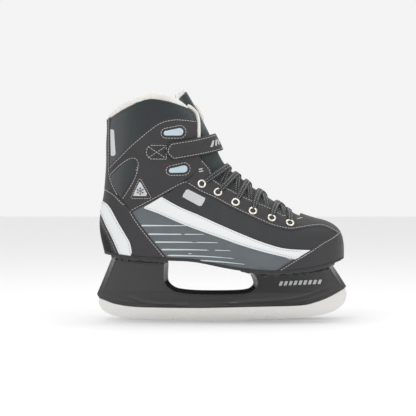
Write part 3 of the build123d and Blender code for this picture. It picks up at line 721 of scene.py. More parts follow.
def band_area(middle, half, taper=1.0):
    """A side view outline that follows a run of points as a band."""
    run = smooth_run(middle)
    along = np.gradient(run, axis=0)
    across = np.stack([-along[:, 1], along[:, 0]], -1)
    across /= np.linalg.norm(across, axis=1, keepdims=True)
    width = half * np.linspace(1.0, taper, len(run))[:, None]
    return np.concatenate([run + across * width, (run - across * width)[::-1]])


def capsule(rear, front):
    """A rounded side view outline from a rear end to a front end, each given as x, z and radius."""
    (x0, z0, r0), (x1, z1, r1) = rear, front
    angles = np.radians(np.linspace(92, 268, 13))
    back = np.stack([x0 + r0 * np.cos(angles), z0 + r0 * np.sin(angles)], -1)
    angles = np.radians(np.linspace(-88, 88, 13))
    ahead = np.stack([x1 + r1 * np.cos(angles), z1 + r1 * np.sin(angles)], -1)
    return np.concatenate([back, ahead])


def sew(name, outlines, side, out, material="thread", **sizes):
    """Stitches along side view lines, laid on the boot's surface on one side."""
    lines = []
    for run in outlines:
        run = np.array(run, float)
        steps = np.concatenate([[0], np.cumsum(np.linalg.norm(np.diff(run, axis=0), axis=1))])
        at = np.linspace(0, steps[-1], max(4, int(steps[-1] / 1.2)))
        places = zip(np.interp(at, steps, run[:, 0]), np.interp(at, steps, run[:, 1]))
        lines.append([(p + n * out, n) for p, n in (on_side(x, z, side) for x, z in places)])
    stitches = thread(name, lines, materials[material], **sizes)
    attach(stitches, "boot")


def closed(run):
    """A run that ends where it starts."""
    return np.concatenate([run, run[:1]])


PINSTRIPES = [
    [(-92, 110.8), (-60, 110.8), (-36, 110.8)], [(-84, 101), (-50, 101), (-19, 101)],
    [(-77, 92), (-40, 92), (-2, 91.6)], [(-70, 83.5), (-30, 83.4), (10, 82.6)],
    [(-62, 76.8), (-20, 76), (21, 73.4)], [(-25, 71.2), (2, 69.6), (27, 67)],
]
# rear and front ends of each reflector: x, z and radius
REFLECTORS = [((-63.6, 216.6, 3.0), (-48.6, 218.1, 4.6)), ((-58.2, 173.9, 2.9), (-43.9, 175.8, 4.6))]


def make_trims():
    """Pinstripes, reflectors, badge, tags and the loop patch."""
    # how far a reflector's seam and rim stand outside its film
    seam_out, rim_out = 2.6, 1.0
    for hand, side in (("lateral", -1), ("medial", 1)):
        for i, middle in enumerate(PINSTRIPES):
            line = smooth_run(middle)

            def above(uv, line=line):
                places, _ = side_of(uv)
                return places[:, 1] - np.interp(places[:, 0], line[:, 0], line[:, 1])

            stripe = outline_field(band_area(middle, half=1.0, taper=0.35), side)
            panel(f"pinstripe_{hand}_{i}", stripe, materials["silver"], "boot", [], 0.1, 0.45, edge=0.25,
                  spine=above)
        for i, (rear, front) in enumerate(REFLECTORS):
            name = f"reflector_{hand}_{i}"
            nodes = ["reflectors_" + hand] if i == 0 else []
            film = outline_field(capsule(rear, front), side)
            panel(name, film, materials["reflector"], "boot", nodes, 1.4, 1.1, edge=1.2)
            seam = capsule((*rear[:2], rear[2] + seam_out), (*front[:2], front[2] + seam_out))
            sew(name + "_stitches", [closed(seam)], side, 1.75)
            rim = capsule((*rear[:2], rear[2] + rim_out), (*front[:2], front[2] + rim_out))
            panel(name + "_rim", outline_field(rim, side), materials["panel"], "boot", [], 1.2, 0.9, edge=0.9)
    loop_shape = ring([(-81.6, 204.8), (-50, 206.5)],
                      [(-43.5, 203), (-40.5, 196), (-42.5, 188), (-46, 185.4)], [(-46, 185.4), (-80, 185)],
                      [(-82, 185.2), (-86.4, 188.4), (-87.6, 195), (-86.4, 201.6), (-81.6, 204.8)])
    loop = outline_field(loop_shape, -1)
    panel("loop_patch", loop, materials["webbing"], "boot", ["loop_patch"], 1.4, 1.1, edge=0.6)
    inner = ring([(-81, 202.8), (-63.5, 202.8)], [(-63.5, 187.2), (-80.6, 187.2)],
                 [(-80.6, 187.2), (-84.4, 190), (-85.6, 195), (-84.4, 200), (-81, 202.8)])
    cross = [[(-83.4, 201.2), (-63.5, 188)], [(-83.4, 188.8), (-63.5, 202)]]
    sew("loop_patch_stitches", [closed(inner), *cross], -1, 2.55)
    badge = ring([(-94.6, 163.4), (-93.4, 164.6), (-92.0, 163.4)],
                 [(-81.6, 144.6), (-80.8, 142.6), (-82.6, 141.8)],
                 [(-101.6, 141.8), (-103.4, 142.6), (-102.6, 144.8)])
    panel("badge", outline_field(badge, -1), materials["leather"], "boot", ["badge"], 1.4, 0.8, edge=0.7)
    patch = ring([(-94.0, 160.6), (-93.2, 161.4), (-92.4, 160.6)],
                 [(-84.8, 146.6), (-84.6, 145.0), (-86.4, 144.7)],
                 [(-99.6, 144.7), (-101.2, 145.2), (-100.6, 146.8)])
    panel("badge_patch", outline_field(patch, -1), materials["mark"], "boot", [], 2.0, 0.45, edge=0.3)
    centre = np.array((-92.9, 150.4))
    arms = []
    for arm in range(6):
        direction = np.array((np.cos(np.radians(60 * arm + 30)), np.sin(np.radians(60 * arm + 30))))
        across = np.array((-direction[1], direction[0]))
        arms.append([centre + direction * 0.4, centre + direction * 4.8])
        for hand in (-1, 1):
            arms.append([centre + direction * 2.6, centre + direction * 4.0 + across * 1.3 * hand])
    sew("badge_crystal", arms, -1, 2.5, material="dark_thread", length=1.3, gap=0.15, radius=0.32)
    sew("badge_stitches", [closed(badge)], -1, 1.75, length=1.9)
    tag = ring([(-40, 153), (-18, 141.5)], [(-23.8, 131.7), (-45.8, 143.8)])
    panel("side_tag", outline_field(tag, -1), materials["label"], "boot", ["side_tag"], 0.9, 0.7, edge=0.4)
    rows = []
    high, low, along = np.array((-40.6, 151.0)), np.array((-44.4, 144.6)), np.array((22.0, -11.6))
    for k, (start, end) in enumerate(((0.14, 0.86), (0.14, 0.7), (0.14, 0.8))):
        base = high + (low - high) * (0.12 + k * 0.36)
        rows.append([base + along * start, base + along * end])
    sew("side_tag_rows", rows, -1, 1.55, material="silver", length=1.6, gap=0.9, radius=0.22)
    heel_tag = ring([(-127.2, 221.6), (-122.8, 220.6)], [(-120.8, 190.6), (-126.6, 190.2)])
    panel("heel_tag", outline_field(heel_tag, -1), materials["label"], "boot", [], 0.6, 0.9, edge=0.5)
    for x, z in ((-24.2, 175.4), (-23.6, 172.8)):
        bars = [[(x - 3, z - 0.5 + k * 0.5), (x + 3, z + 0.5 + k * 0.5)] for k in range(2)]
        sew(f"bartack_{int(-x * 10)}", bars, -1, 2.0, length=5.2, gap=0.2, radius=0.4)
    throat_end = [(86, 116.8), (91, 118.2), (95, 117.2)]
    for side, hand in ((-1, "lateral"), (1, "medial")):
        sew("throat_bartack_" + hand, [throat_end], side, 1.4, length=2.2, gap=0.2, radius=0.6)


def curls(xyz):
    """Uneven height of a fleece's pile, about -1 to 1."""
    return np.array([noise.noise(Vector(p) * 0.16) + 0.7 * noise.noise(Vector(p) * 0.34) for p in xyz])


def make_lining():
    """The fleece lining: a padded roll round the collar that goes down inside the boot."""
    outline = ring([(x, z + 4) for x, z in SOLE], [(150, 140), (96, 140)], [(96, 140), (94, 108)],
                   [(x - 5, z - 8) for x, z in THROAT[::-1]], [(-33, 205), (-27, 216)],
                   [(-27, 216), (-25, 238)], LINING[::-1])
    roll_radius, middle_depth, tongue_half = 5.0, -4.6, 28.5
    field = outline_field(outline)

    def clear_of_tongue(uv):
        xyz = last_point(uv[:, 0], uv[:, 1])
        return np.where((xyz[:, 0] > -60) & (xyz[:, 2] > 150), np.abs(xyz[:, 1]) - tongue_half, 9.0)

    def shape(uv):
        return np.minimum(field(uv), clear_of_tongue(uv))

    sheet = cut_sheet(shape, (0.15, 0.5, 1.2, 2.2, 3.4, 5.0))
    uv = sheet.array()
    inside = shape(uv)
    roll = rounded(inside, roll_radius)
    xyz, normal = surface(uv)
    outer_depth = middle_depth + 4.0 * roll - 2.6 * np.clip((inside - 6) / 6, 0, 1)
    inner_depth = middle_depth - 3.2 * roll
    # the outer side draws in where the lining meets the sole
    low = np.clip((xyz[:, 2] - (sole_z(xyz[:, 0]) + 4)) / 4, 0, 1)
    pile = bpy.context.scene.skate_sizes.pile / MM * roll * curls(xyz)
    outer = xyz + normal * ((outer_depth + pile) * low - 3 * (1 - low))[:, None]
    inner = xyz + normal * (inner_depth - pile)[:, None]
    piece = two_sided("lining", sheet, outer, inner, inside < RIM, materials["fleece"])
    settle(piece, "boot", "lining", "heel_counter", "toe_puff")


def make_sole():
    """The outsole's edge and underside."""
    thick, edge_out, floor_out = 2.8, 1.7, 1.2

    def below(uv):
        xyz = last_point(uv[:, 0], uv[:, 1])
        return sole_z(xyz[:, 0]) + thick - xyz[:, 2]

    sheet = cut_sheet(below, (2.0, thick))
    uv = sheet.array()
    xyz, normal = surface(uv)
    depth = below(uv)
    points = xyz + normal * np.where(depth < 2.7, edge_out, floor_out)[:, None]
    floor = sole_z(points[:, 0])
    points[:, 2] = np.where(depth > 2.79, floor, points[:, 2])
    top = points.copy()
    top[:, 2] = np.maximum(points[:, 2], floor + thick)
    piece = two_sided("outsole", sheet, points, top, depth < RIM, materials["rubber"])
    settle(piece, "boot", "outsole")


def make_tongue():
    """The tongue and its fleece, which bend over the fold above the strap, and the collar's front trim."""
    half_width, flare, flare_start, flare_rise = 28.0, 6.0, 226, 22
    tuck, edge, toe_end = 6.6, 1.4, 92

    def spread(xyz):
        """How far the tongue has widened, from 0 below the fold to 1 at its top."""
        t = np.clip((xyz[:, 2] - flare_start) / flare_rise, 0, 1)
        return t * t * (3 - 2 * t)

    def top_field(top, shoulder):
        def field(uv):
            xyz = last_point(uv[:, 0], uv[:, 1])
            half = half_width + flare * spread(xyz)
            y = np.abs(xyz[:, 1])
            limit = shoulder + (top - shoulder) * np.sqrt(np.clip(1 - (y / half) ** 2.4, 0, 1))
            front = np.cos(uv[:, 1]) * 40
            return np.minimum.reduce([half - y, front, limit - xyz[:, 2], (toe_end - xyz[:, 0]) * 0.8])
        return field

    # name, top, shoulder, depth of its middle, thickness and finish
    for name, top, shoulder, out, thick, finish in (
        ("tongue", 266.0, 246.0, -4.0, 2.4, "tongue"),
        ("tongue_fleece", 271.0, 250.0, -7.2, 3.4, "fleece"),
    ):
        field = top_field(top, shoulder)
        sheet = cut_sheet(field, (0.15, 0.6, edge))
        uv = sheet.array()
        inside = field(uv)
        xyz, normal = surface(uv)
        bend = np.clip((np.abs(xyz[:, 1]) - 15) / 9, 0, 1)
        sunk = out + thick / 2 - tuck * spread(xyz) * bend * bend * (3 - 2 * bend)
        fluff = bpy.context.scene.skate_sizes.pile / MM * curls(xyz) * (finish == "fleece")
        height = sunk + (thick / 2 + fluff) * rounded(inside, edge)
        back_height = sunk - thick / 2 * rounded(inside, edge)
        outer, inner = xyz + normal * height[:, None], xyz + normal * back_height[:, None]
        piece = two_sided(name, sheet, outer, inner, inside < RIM, materials[finish])
        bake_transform(piece)
        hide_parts(*keep_nodes(name, name + "_top"))
    front = [(-38, 247.8), (-34, 245.4), (-29, 240), (-26.6, 233), (-26, 222), (-26, 208), (-25, 198)]
    lobe = [(-40, 253.5), (-34, 250.5), (-27.5, 246), (-24, 240), (-22.6, 232), (-22, 222), (-22, 208),
            (-22, 196)]
    least_y = 20.0
    for hand, side, run, radius, out in (("lateral", -1, front, 2.3, -0.6), ("medial", 1, lobe, 3.4, -1.4)):
        hits = [on_side(x, z, side) for x, z in smooth_run(run)]
        path = np.array([p + n * out for p, n in hits])
        path[:, 1] = side * np.maximum(side * path[:, 1], least_y)
        piece = tube("collar_trim_" + hand, path, radius, materials["fleece"], [n for _, n in hits])
        settle(piece, "boot", *(["collar_trim"] if side < 0 else []))


def make_laces():
    """Eyelets and a flat criss-cross lace with rows of light flecks."""
    points, faces = [], []
    eyelet_seat, eyelet_sides = 1.8, 24
    # radius and height of the eyelet's round section
    profile = [(2.9, -2.0), (2.9, 0.4), (3.4, 0.95), (4.2, 1.0), (4.9, 0.7), (5.1, 0.1), (4.9, -0.1),
               (3.5, -0.1), (3.5, -2.0)]
    places = {}
    for side in (-1, 1):
        for i, (x, z) in enumerate(EYELETS):
            p, n = on_side(x, z, side)
            places[side, i] = (p, n)
            a = np.cross(n, (1, 0, 0))
            a /= np.linalg.norm(a)
            b = np.cross(n, a)
            base = len(points)
            turns, rows = eyelet_sides, len(profile)
            for k in range(turns):
                w = a * np.cos(2 * np.pi * k / turns) + b * np.sin(2 * np.pi * k / turns)
                points += [p + w * r + n * (h + eyelet_seat) for r, h in profile]
            for k in range(turns):
                for r in range(rows):
                    c, d = base + k * rows, base + (k + 1) % turns * rows
                    faces.append((c + r, d + r, d + (r + 1) % rows, c + (r + 1) % rows))
    piece = new_object("eyelets", points, faces, materials["nickel"])
    weld(piece)
    settle(piece, "boot", "eyelets")

    def surface_place(side, i):
        """The s and v of an eyelet."""
        p, _ = places[side, i]
        k = np.argmin(np.linalg.norm(GRID_XYZ - p, axis=1))
        return GRID[k]

    points, faces, fleck_lines = [], [], []
    steps, over_eyestay, under_eyestay, fleck_row = 30, 2.75, -1.9, 0.45
    # places across the lace, in half widths, and up
    section = [(-1, 0), (-0.92, 0.55), (-0.5, 0.75), (0, 0.8), (0.5, 0.75), (0.92, 0.55), (1, 0),
               (0.92, -0.5), (0, -0.65), (-0.92, -0.5)]

    def strip(start, end, lift, tucked=True):
        """One run of lace from an eyelet over the tongue to the other side, where it goes under or over."""
        t = np.linspace(0, 1, steps)
        s = start[0] + (end[0] - start[0]) * t
        v = start[1] + (end[1] - start[1]) * t
        xyz, n = surface(np.stack([s, v], -1))
        height = np.full(steps, float(lift))
        for edge, under in ((t, False), (1 - t, tucked)):
            blend = np.clip((0.34 - edge) / 0.16, 0, 1)
            blend = blend * blend * (3 - 2 * blend)
            if under:
                height += (under_eyestay - lift) * blend
            else:
                dive = np.where(edge < 0.045, (1 - edge / 0.045) ** 2 * 3.4, 0)
                height += (over_eyestay - lift) * blend - dive
        middle = xyz + n * height[:, None]
        along = np.gradient(middle, axis=0)
        along /= np.linalg.norm(along, axis=1, keepdims=True)
        across = np.cross(along, n)
        across /= np.linalg.norm(across, axis=1, keepdims=True)
        pinch = 1 - 0.45 * np.clip(1 - np.minimum(t, 1 - t) / 0.09, 0, 1)
        half = bpy.context.scene.skate_sizes.lace / MM / 2
        faces.extend(tube_faces(len(points), steps, len(section)))
        stations = list(zip(middle, across, n, pinch))
        for c, w, u, q in stations:
            points.extend(c + w * a * half * q + u * b for a, b in section)
        for row in (-fleck_row, fleck_row):
            fleck_lines.append([(c + w * half * row * q + u * 0.72, u) for c, w, u, q in stations])

    count = len(EYELETS)
    strip(surface_place(-1, count - 1), surface_place(1, count - 1), 0.2, tucked=False)
    for low in range(count - 1):
        strip(surface_place(1, low), surface_place(-1, low + 1), -0.1)
        strip(surface_place(-1, low), surface_place(1, low + 1), 1.5)
    piece = new_object("lace", points, faces, materials["lace"])
    weld(piece, 0.000005)
    settle(piece, "boot", "lace")
    flecks = thread("lace_flecks", fleck_lines, materials["fleck"], length=1.1, gap=1.6, radius=0.22)
    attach(flecks, "boot")


MARKS = 9
STRAP_MIDDLE = np.array((-36.5, 200.0))
STRAP_SLOPE = np.radians(10)
STRAP_ALONG = np.array((np.cos(STRAP_SLOPE), np.sin(STRAP_SLOPE)))
STRAP_ACROSS = np.array((-STRAP_ALONG[1], STRAP_ALONG[0]))


def strap_place(uv):
    """Places along and across the strap's slope in side view, and their Y."""
    places, y = side_of(uv)
    offset = places - STRAP_MIDDLE
    return offset @ STRAP_ALONG, offset @ STRAP_ACROSS, y, places


def make_strap():
    """The ankle strap with a pointed end, its hook patch, its sewn anchor and its printed bars."""
    half, apex, shoulder, medial_end = 10.2, -28.0, 6.6, -30.0
    back, thick, edge_radius, seam_inset = 3.6, 2.0, 1.1, 2.1

    def strap_field(uv):
        along, across, y, places = strap_place(uv)
        edge = half - np.abs(across)
        nose = (along - apex - np.clip(np.abs(across) - 1.5, 0, None) * shoulder / half * 1.1) * 0.83
        rear = np.where(y > 0, places[:, 0] - medial_end, nose)
        return np.minimum(edge, rear)

    sheet = cut_sheet(strap_field, (0.12, 0.5, edge_radius, 1.5, 2.7))
    seam = sheet.cut(strap_field, seam_inset)
    uv = sheet.array()
    inside = strap_field(uv)
    xyz, normal = surface(uv)
    groove = 0.4 * np.exp(-(((inside - seam_inset) / GROOVE_WIDTH) ** 2))
    height = back + thick * rounded(inside, edge_radius) - groove
    outer = xyz + normal * height[:, None]
    piece = two_sided("strap", sheet, outer, xyz + normal * 3.55, inside < RIM, materials["leather"])
    settle(piece, "strap", "strap")
    lines = [[(outer[i], normal[i]) for i in line] for line in chain(seam)]
    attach(thread("strap_stitches", lines, materials["thread"]), "strap")

    def slab(low, high, width):
        """A field of a length of the strap."""
        def field(uv):
            along, across, _, _ = strap_place(uv)
            return np.minimum.reduce([width - np.abs(across), along - low, high - along])
        return field

    hook, anchor = slab(-24, -6, half - 2), slab(-17, 12, half)
    panel("hook_patch", lambda uv: np.minimum(hook(uv), -side_of(uv)[1]), materials["webbing"], "strap",
          ["hook_patch"], 2.75, 0.7, edge=0.4)
    panel("strap_anchor", lambda uv: np.minimum(anchor(uv), side_of(uv)[1]), materials["leather"], "boot",
          ["strap_anchor"], 1.5, 1.4, edge=1.0)
    first_bar, bar_pitch, bar_slant, bar_half_width, bar_half_height = 21.0, 5.2, 0.45, 1.4, 3.4
    for k in range(MARKS):
        def bar(uv, k=k):
            _, across, y, _ = strap_place(uv)
            place = (y + first_bar - k * bar_pitch) - across * bar_slant
            inside = np.minimum(bar_half_width - np.abs(place), bar_half_height - np.abs(across))
            return np.minimum(inside, np.cos(uv[:, 1]) * 20)

        panel(f"strap_bar_{k}", bar, materials["mark"], "strap", [], 5.4, 0.5, edge=0.3)


# ------------------------------------------------------------------ holder
HOLDER_EDGE = [(-142, 25.5), (-133, 22), (-123.5, 18.6), (-106, 15.7), (-83, 14.5), (-25, 13.9), (33, 15.1),
               (79.5, 16.2), (97, 17.4), (108.5, 20.3), (120, 24.4), (131.7, 30.2), (143.3, 37.1)]
WINDOW = [(-61.5, 74), (-61.5, 63.8), (-62, 52.2), (-61, 45.2), (-55, 39.4), (-46, 36.5), (-25, 34.8),
          (10, 34.8), (27.3, 36), (34.2, 38.9), (36.8, 44), (33, 53.4), (28.4, 56.3), (21.5, 58)]


def make_holder():
    """The moulded holder: one hollow-looking form whose width follows the rail, towers and flanges."""
    flange_thickness = 3.4
    front_flange_half, rear_flange_half, waist_x = 34.5, 26.5, -12
    rail_half, rail_growth = 4.8, 3.2
    tower_growth, rear_slimming = 11.5, 2.5
    sole_run = smooth_run(SOLE)
    rear = sole_run[(sole_run[:, 0] >= -128) & (sole_run[:, 0] <= -61)]
    front = sole_run[(sole_run[:, 0] >= 20) & (sole_run[:, 0] <= 131.7)]
    outline = np.concatenate([
        smooth_run(HOLDER_EDGE), [(144.6, 39.4)], smooth_run([(144.6, 39.4), (136, 53), (129, 63.5)]),
        [(131.7, 68.4)], front[::-1], smooth_run(WINDOW)[::-1], rear[::-1], [(-127, 73)],
        smooth_run([(-127, 73), (-135, 53), (-144.6, 30.2)]),
    ])

    def field(p):
        return inside_distance(p, outline)

    def half_width(x, z):
        """Half the holder's width: the rail, the towers that widen upward, and the flanges under the sole."""
        floor = sole_z(x) - flange_thickness
        wide = np.where(x > waist_x, front_flange_half, rear_flange_half)
        lip = np.interp(np.abs(x - 2), [0, 100, 120, 128, 132], [1, 1, 0.86, 0.62, 0.4])
        rail = rail_half + rail_growth * np.clip((z - 18) / 16, 0, 1)
        rise = np.clip((z - 32) / (floor - 34), 0, 1)
        tower = rail + (tower_growth - rear_slimming * (x < waist_x)) * rise**1.3
        flange = np.clip((z - floor + 1.6) / 1.8, 0, 1)
        flange = flange * flange * (3 - 2 * flange)
        end = np.clip((146 - np.abs(x)) / 26, 0, 1) ** 0.5
        return tower * (0.45 + 0.55 * end) + (wide * lip - tower) * flange * (wide * lip > tower)

    xs = np.arange(-146, 147, 1.6)
    zs = np.arange(12, 80, 1.1)
    wide = len(zs)
    points = [(x, z) for x in xs for z in zs]
    faces = [
        (i * wide + j, (i + 1) * wide + j, (i + 1) * wide + j + 1, i * wide + j + 1)
        for i in range(len(xs) - 1)
        for j in range(wide - 1)
    ]
    near = field(np.array(points)) > -4
    sheet = Sheet(points, [f for f in faces if near[list(f)].any()])
    sheet.tidy()
    sheet.cut(field, 0.0, keep=True)
    for level in (0.4, 1.1, 2.2, 3.4, 4.8, 5.3, 6.2):
        sheet.cut(field, level)
    for level in (-4.9, -4.2, -3.4, -2.4):
        sheet.cut(lambda p: p[:, 1] - sole_z(p[:, 0]), level)
    p = sheet.array()
    inside = field(p)
    ridges = [
        [(-105, 27), (-94, 22), (-71, 18.5), (-40, 17.6)],
        [(10, 19), (27, 21), (74, 24), (99, 29), (126, 40)],
    ]
    width = half_width(p[:, 0], p[:, 1])
    for run in ridges:
        width = width + 0.7 * np.exp(-((run_distance(p, smooth_run(run)) / 1.4) ** 2))
    bevel = 0.36 + 0.64 * np.clip(inside / 4.8, 0, 1) + 0.05 * np.exp(-(((inside - 5.2) / 0.7) ** 2))
    flange_here = np.clip((p[:, 1] - sole_z(p[:, 0]) + 4.6) / 1.4, 0, 1)
    bevel = np.maximum(bevel, flange_here * 0.96)
    low_edge = run_distance(p, smooth_run(HOLDER_EDGE))
    bevel = np.where(low_edge < inside + 0.05, np.maximum(bevel, 0.62 + 0.38 * rounded(inside, 2.2)), bevel)
    y = width * bevel
    left = np.stack([p[:, 0], -y, p[:, 1]], -1)
    right = np.stack([p[:, 0], y, p[:, 1]], -1)
    count = len(p)
    # an edge with no face on its other side is on the outline
    edges = dict.fromkeys((a, b) for face in sheet.faces for a, b in zip(face, face[1:] + face[:1]))
    side_walls = [(b, a, a + count, b + count) for a, b in edges if (b, a) not in edges]
    faces = sheet.faces + [tuple(i + count for i in f[::-1]) for f in sheet.faces] + side_walls
    piece = new_object("holder", np.concatenate([left, right]), faces, materials["holder"])
    weld(piece)
    piece.data.set_sharp_from_angle(angle=np.radians(32))
    settle(piece, "boot", "holder")
    points, faces = [], []
    rivet_places = ((45, 28), (70, 29), (95, 28), (116, 20), (-70, 21), (-93, 22), (-114, 15))
    # radius and drop of the rows round a rivet's domed head
    rivet_rows, turns = ((4.0, -0.6), (4.0, 0.3), (3.4, 0.9), (2.0, 1.3)), 20
    for x, y in rivet_places:
        for side in (-1, 1):
            faces += tube_faces(len(points), len(rivet_rows), turns)
            level = float(sole_z(x)) - flange_thickness
            for radius, drop in rivet_rows:
                for k in range(turns):
                    angle = 2 * np.pi * k / turns
                    across = side * y + radius * np.sin(angle)
                    points.append((x + radius * np.cos(angle), across, level - drop))
    piece = new_object("rivets", points, faces, materials["rivet"])
    weld(piece)
    settle(piece, "boot", "front_rivets", "rear_rivets")
    points, faces = [], []
    for side in (-1, 1):
        for k in range(MARKS):
            x0 = 66 + k * 5.6
            z0 = 40.5 + k * 0.25
            base = len(points)
            for dx, dz in ((0, 0), (3.4, 0), (5.2, 5.2), (1.8, 5.2)):
                x, z = x0 + dx, z0 + dz
                y = float(half_width(np.array([x]), np.array([z]))[0])
                points.append((x, side * (y + 0.35), z))
                points.append((x, side * (y - 0.6), z))
            for a in range(4):
                b = (a + 1) % 4
                faces.append((base + 2 * a, base + 2 * b, base + 2 * b + 1, base + 2 * a + 1))
            faces.append(tuple(base + 2 * a for a in range(4)))
    marks = new_object("holder_marks", points, faces, materials["mark"], smooth=False)
    weld(marks)
    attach(marks, "boot")


# ------------------------------------------------------------------ carried-over nodes and the studio
def finish_nodes():
    """Give the CAD nodes that stay their own finishes."""
    wanted = {"blade": "steel", "shank": "steel", "footbed": "fleece", "lasting_board": "board"}
    for node, name in wanted.items():
        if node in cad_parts:
            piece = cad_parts[node]
            piece.data.materials.clear()
            piece.data.materials.append(materials[name])


def make_stage():
    """A pale floor, soft lights and a long lens at the side of the skate."""
    bpy.ops.mesh.primitive_plane_add(size=8, location=(0, 0, 0))
    floor = bpy.context.object
    floor.name = "floor"
    pale = bpy.context.scene.skate_colors.floor
    floor.data.materials.append(shader("floor", pale, 0.7, [("noise", 30, 0.02)], vary=0.006))
    world = bpy.data.worlds.new("studio")
    bpy.context.scene.world = world
    world.use_nodes = True
    background = world.node_tree.nodes["Background"]
    background.inputs["Color"].default_value = (1, 1, 1, 1)
    background.inputs["Strength"].default_value = 0.9
    bpy.context.scene.view_settings.view_transform = "Standard"

    def area(name, place, aim, size, power):
        """A soft rectangular light that faces a point."""
        light = bpy.data.lights.new(name, "AREA")
        light.shape = "RECTANGLE"
        light.size, light.size_y = size
        light.energy = power
        lamp = bpy.data.objects.new(name, light)
        bpy.context.scene.collection.objects.link(lamp)
        lamp.location = place
        lamp.rotation_euler = (Vector(aim) - Vector(place)).to_track_quat("-Z", "Y").to_euler()

    # name, place, aim, size in metres and power in watts
    for lamp in (
        ("key", (-0.5, -1.2, 1.1), (0, 0, 0.13), (0.9, 0.6), 5.5),
        ("fill", (1.2, -0.9, 0.5), (0, 0, 0.1), (0.8, 0.8), 2.5),
        ("top", (0, 0.2, 1.5), (0, 0, 0.1), (1.2, 0.8), 5),
    ):
        area(*lamp)
    camera = bpy.data.cameras.new("camera")
    holder = bpy.data.objects.new("camera", camera)
    bpy.context.scene.collection.objects.link(holder)
    view_width, distance, sensor = 0.4826, 2.6, 36.0
    camera.sensor_width = sensor
    camera.lens = sensor * distance / view_width
    centre = Vector((-0.0157, 0, 0.130))
    tilt = np.radians(1.5)
    holder.location = centre + Vector((0, -distance * np.cos(tilt), distance * np.sin(tilt)))
    holder.rotation_euler = (centre - holder.location).to_track_quat("-Z", "Y").to_euler()
    camera.clip_start = 0.1
    camera.clip_end = 20
    bpy.context.scene.camera = holder


# ------------------------------------------------------------------ add-on
def color_setting(name, description, default):
    """A colour that a user may change."""
    return bpy.props.FloatVectorProperty(name=name, description=description, default=default, subtype="COLOR",
                                         size=3, min=0, max=1)


class SkateColors(bpy.types.PropertyGroup):
    """Colours of the skate's finishes."""

    leather: color_setting("Leather", "Grained synthetic of the overlays", (0.022, 0.020, 0.0225))
    collar: color_setting("Collar textile", "Padded textile round the ankle", (0.026, 0.033, 0.036))
    grey: color_setting("Side textile", "Textile of the quarters under the stripe", (0.135, 0.155, 0.165))
    white: color_setting("White panels", "Side stripe and heel band", (0.70, 0.715, 0.72))
    fleece: color_setting("Fleece", "Pile of the lining and tongue", (0.72, 0.70, 0.67))
    reflector: color_setting("Reflectors", "Reflective film", (0.46, 0.57, 0.63))
    holder: color_setting("Holder", "Glossy moulding over the blade", (0.018, 0.017, 0.018))
    floor: color_setting("Floor", "Studio floor", (0.88, 0.88, 0.88))


class SkateSizes(bpy.types.PropertyGroup):
    """Sizes of the skate's small work, in metres."""

    stitch: bpy.props.FloatProperty(name="Stitch", description="Length of one stitch", default=0.0024,
                                    unit="LENGTH", min=0.001, max=0.006)
    thread: bpy.props.FloatProperty(name="Thread", description="Radius of the sewing thread", default=0.0003,
                                    unit="LENGTH", min=0.0001, max=0.001)
    lace: bpy.props.FloatProperty(name="Lace", description="Width of the flat lace", default=0.0074,
                                  unit="LENGTH", min=0.003, max=0.012)
    pile: bpy.props.FloatProperty(name="Pile", description="Depth of the fleece's curls", default=0.0011,
                                  unit="LENGTH", min=0, max=0.003)


class SKATE_OT_materials(bpy.types.Operator):
    """Make every finish."""

    bl_idname = "skate.materials"
    bl_label = "Materials"

    def execute(self, context):
        make_materials()
        return {"FINISHED"}


class SKATE_OT_stage(bpy.types.Operator):
    """Make the floor, the lights and the camera."""

    bl_idname = "skate.stage"
    bl_label = "Stage"

    def execute(self, context):
        make_stage()
        return {"FINISHED"}


class SKATE_OT_upper(bpy.types.Operator):
    """Sew the quarters, collar and overlays."""

    bl_idname = "skate.upper"
    bl_label = "Upper"

    def execute(self, context):
        make_upper()
        return {"FINISHED"}


class SKATE_OT_lining(bpy.types.Operator):
    """Make the fleece lining and its roll round the collar."""

    bl_idname = "skate.lining"
    bl_label = "Lining"

    def execute(self, context):
        make_lining()
        return {"FINISHED"}


class SKATE_OT_tongue(bpy.types.Operator):
    """Make the tongue, its fleece and the collar's trim."""

    bl_idname = "skate.tongue"
    bl_label = "Tongue"

    def execute(self, context):
        make_tongue()
        return {"FINISHED"}


class SKATE_OT_trims(bpy.types.Operator):
    """Make the pinstripes, reflectors, badge, tags and loop patch."""

    bl_idname = "skate.trims"
    bl_label = "Trims"

    def execute(self, context):
        make_trims()
        return {"FINISHED"}


class SKATE_OT_sole(bpy.types.Operator):
    """Make the outsole."""

    bl_idname = "skate.sole"
    bl_label = "Sole"

    def execute(self, context):
        make_sole()
        return {"FINISHED"}


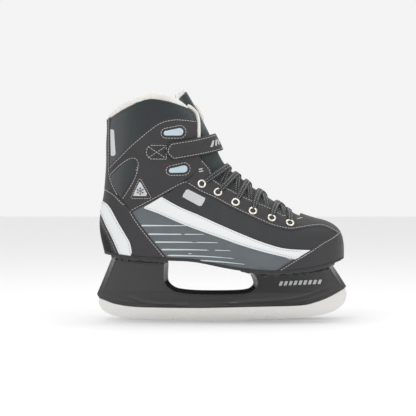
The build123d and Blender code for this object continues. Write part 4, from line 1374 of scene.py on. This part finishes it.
class SKATE_OT_laces(bpy.types.Operator):
    """Make the eyelets and the lace."""

    bl_idname = "skate.laces"
    bl_label = "Laces"

    def execute(self, context):
        make_laces()
        return {"FINISHED"}


class SKATE_OT_strap(bpy.types.Operator):
    """Make the ankle strap."""

    bl_idname = "skate.strap"
    bl_label = "Strap"

    def execute(self, context):
        make_strap()
        return {"FINISHED"}


class SKATE_OT_holder(bpy.types.Operator):
    """Make the blade holder."""

    bl_idname = "skate.holder"
    bl_label = "Holder"

    def execute(self, context):
        make_holder()
        return {"FINISHED"}


class SKATE_OT_nodes(bpy.types.Operator):
    """Finish the CAD nodes that stay."""

    bl_idname = "skate.nodes"
    bl_label = "Carried nodes"

    def execute(self, context):
        finish_nodes()
        return {"FINISHED"}


STEPS = [
    SKATE_OT_materials,
    SKATE_OT_stage,
    SKATE_OT_upper,
    SKATE_OT_lining,
    SKATE_OT_tongue,
    SKATE_OT_trims,
    SKATE_OT_sole,
    SKATE_OT_laces,
    SKATE_OT_strap,
    SKATE_OT_holder,
    SKATE_OT_nodes,
]


class SKATE_PT_panel(bpy.types.Panel):
    """Sidebar panel with one button for each step."""

    bl_label = "Ice skate"
    bl_idname = "SKATE_PT_panel"
    bl_space_type = "VIEW_3D"
    bl_region_type = "UI"
    bl_category = "Ice skate"

    def draw(self, context):
        for operator in STEPS:
            self.layout.operator(operator.bl_idname)
        for settings in (context.scene.skate_colors, context.scene.skate_sizes):
            for name in settings.__annotations__:
                self.layout.prop(settings, name)


CLASSES = [SkateColors, SkateSizes, *STEPS, SKATE_PT_panel]


def register():
    """Register the classes and the scene's settings."""
    for item in CLASSES:
        bpy.utils.register_class(item)
    bpy.types.Scene.skate_colors = bpy.props.PointerProperty(type=SkateColors)
    bpy.types.Scene.skate_sizes = bpy.props.PointerProperty(type=SkateSizes)


def unregister():
    """Take everything that register added away again."""
    del bpy.types.Scene.skate_sizes
    del bpy.types.Scene.skate_colors
    for item in reversed(CLASSES):
        bpy.utils.unregister_class(item)


def main():
    """Build the skate."""
    register()
    for operator in STEPS:
        getattr(bpy.ops.skate, operator.bl_idname.split(".")[1])()


if __name__ == "__main__":
    main()
